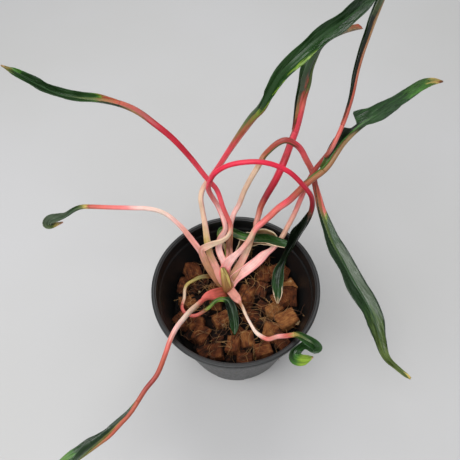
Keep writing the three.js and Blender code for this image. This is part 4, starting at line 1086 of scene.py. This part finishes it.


# Olive sheath at the heart of the crown: the foot of a shed leaf, still wrapped round the stem's
# top, ribbed lengthwise and slit down its front, where painted shade darkens the slit.
wrap = stalk(shaped(
    blade_at=3, sheath=40, groove=0.4, route="-7.5 12 81, -8.6 16.5 87, -10 21 92, -12 26 97",
    strap="0 0, 1 0", girth="0 4.4, 12 5, 20 4.6, 27 3.2, 33 1.6", face=".3 -.7 .5",
    foot_face=".4 -.7 .5"), "olive_wrap", stalk_skin(
    "olive_wrap", "0 umber, .3 amber, .45 straw, .7 straw, 1 olive",
    "-1.4 -.3: 0 umber, .5 amber, 1 straw; .5 1.4: 0 clay, .6 amber, 1 olive",
    # Painted shade: the crest band darkens the slit to amber and umber.
    ".97 1.3: 0 umber, .6 amber, 1 olive"))
set_in(wrap, "cream_sheath", "crown")


# Dry sheath: a thin papery bract, brown between cream margins, that curls up behind the crown.
papery, tree, shader = new_material("papery_dry_sheath")
way = add(tree, "Attribute", attribute_name="way").outputs["Vector"]
across = add(tree, "Attribute", attribute_name="across").outputs["Fac"]
drawn = add(tree, "Mapping", {"Vector": way, "Scale": (1, 0.12, 1)})
lines = add(tree, "TexNoise", {"Vector": drawn, "Scale": 1 / 0.0012, "Detail": 4})
far_out = add(tree, "Math", (across,), operation="ABSOLUTE")
out = add(tree, "Math", (far_out, 4), operation="POWER")
shifted = add(tree, "Math", (lines, 0.6, out), operation="MULTIPLY_ADD")
tone = add(tree, "ValToRGB", {"Fac": shifted},
           stops=[(0.3, "#5A3E26"), (0.75, "#8A6A44"), (0.98, "#C9AB7C"), (1, "#E6D3B0")])
bump = add(tree, "Bump", {"Height": lines, "Strength": 0.6, "Distance": 0.0003})
feed(shader, {"Base Color": tone, "Normal": bump, "Roughness": 0.55})
bract = shaped(
    blade_at=2, sheath=32, rib_end=0.3, waves=3, ripple=2, crease=1.1,
    route="""-3 23 79, 0 33 82, 1 42 84, 3 49 86, 8 54 89, 14 57 92, 22 57 95, 29 55 97, 35 51 99,
    39 46 100""", girth="0 2.2, 30 1.4, 36 1", left="1.6, 3.4, 7, 11, 12.5, 12.5, 12, 7",
    right="1.6, 3, 4.6, 6, 6.5, 6.5, 5, 2.4", fold_left="60, 50, 42, 38, 38, 38, 38",
    fold_right="60, 50, 42, 36, 34, 34, 40", face="0 -.8 .4, 0 -.5 .9, .2 -.3 .9")
set_in(stalk(bract, "papery_sheath", papery), "dry_sheath", "crown")
set_in(blade(bract, "papery_sheath", papery, papery), "dry_sheath", "dry_sheath")


# Stem: short and stout, ringed by the scars of fallen leaves, with the stubs of old sheaths round
# it. It stands in the chips, and the sheaths grow from its top.
stem_bark, tree, shader = new_material("sheathed_stem")
place = add(tree, "TexCoord").outputs["Object"]
drawn = add(tree, "Mapping", {"Vector": place, "Scale": (1, 1, 0.15)})
lines = add(tree, "TexNoise", {"Vector": drawn, "Scale": 1 / 0.0012, "Detail": 4})
tone = add(tree, "ValToRGB", {"Fac": lines},
           stops=[(0.3, "#6A4A2C"), (0.5, "#A88A50"), (0.7, "#C2A86A")])
bump = add(tree, "Bump", {"Height": lines, "Strength": 0.5, "Distance": 0.0004})
feed(shader, {"Base Color": tone, "Normal": bump, "Roughness": 0.45})
STEM_FOOT, SCAR_STEP = 40, 5.2
heights = np.arange(STEM_FOOT + 0.5, 82, 0.8)
scars = np.cos((heights - STEM_FOOT) / SCAR_STEP * math.tau)
widths = 6.1 - 0.35 * scars - 0.03 * (heights - STEM_FOOT)
stem = turned("stem", [(0, STEM_FOOT), *zip(widths, heights), (2.6, 83.4), (0, 84)], 40,
              stem_bark)
for vertex in stem.data.vertices:
    x, y, z = vertex.co
    rib = 1 + 0.06 * math.sin(7 * math.atan2(y, x) + z / MM / 9)
    vertex.co = x * rib + STEM_X * MM, y * rib + STEM_Y * MM, z
set_in(stem, "cream_sheath", "crown")
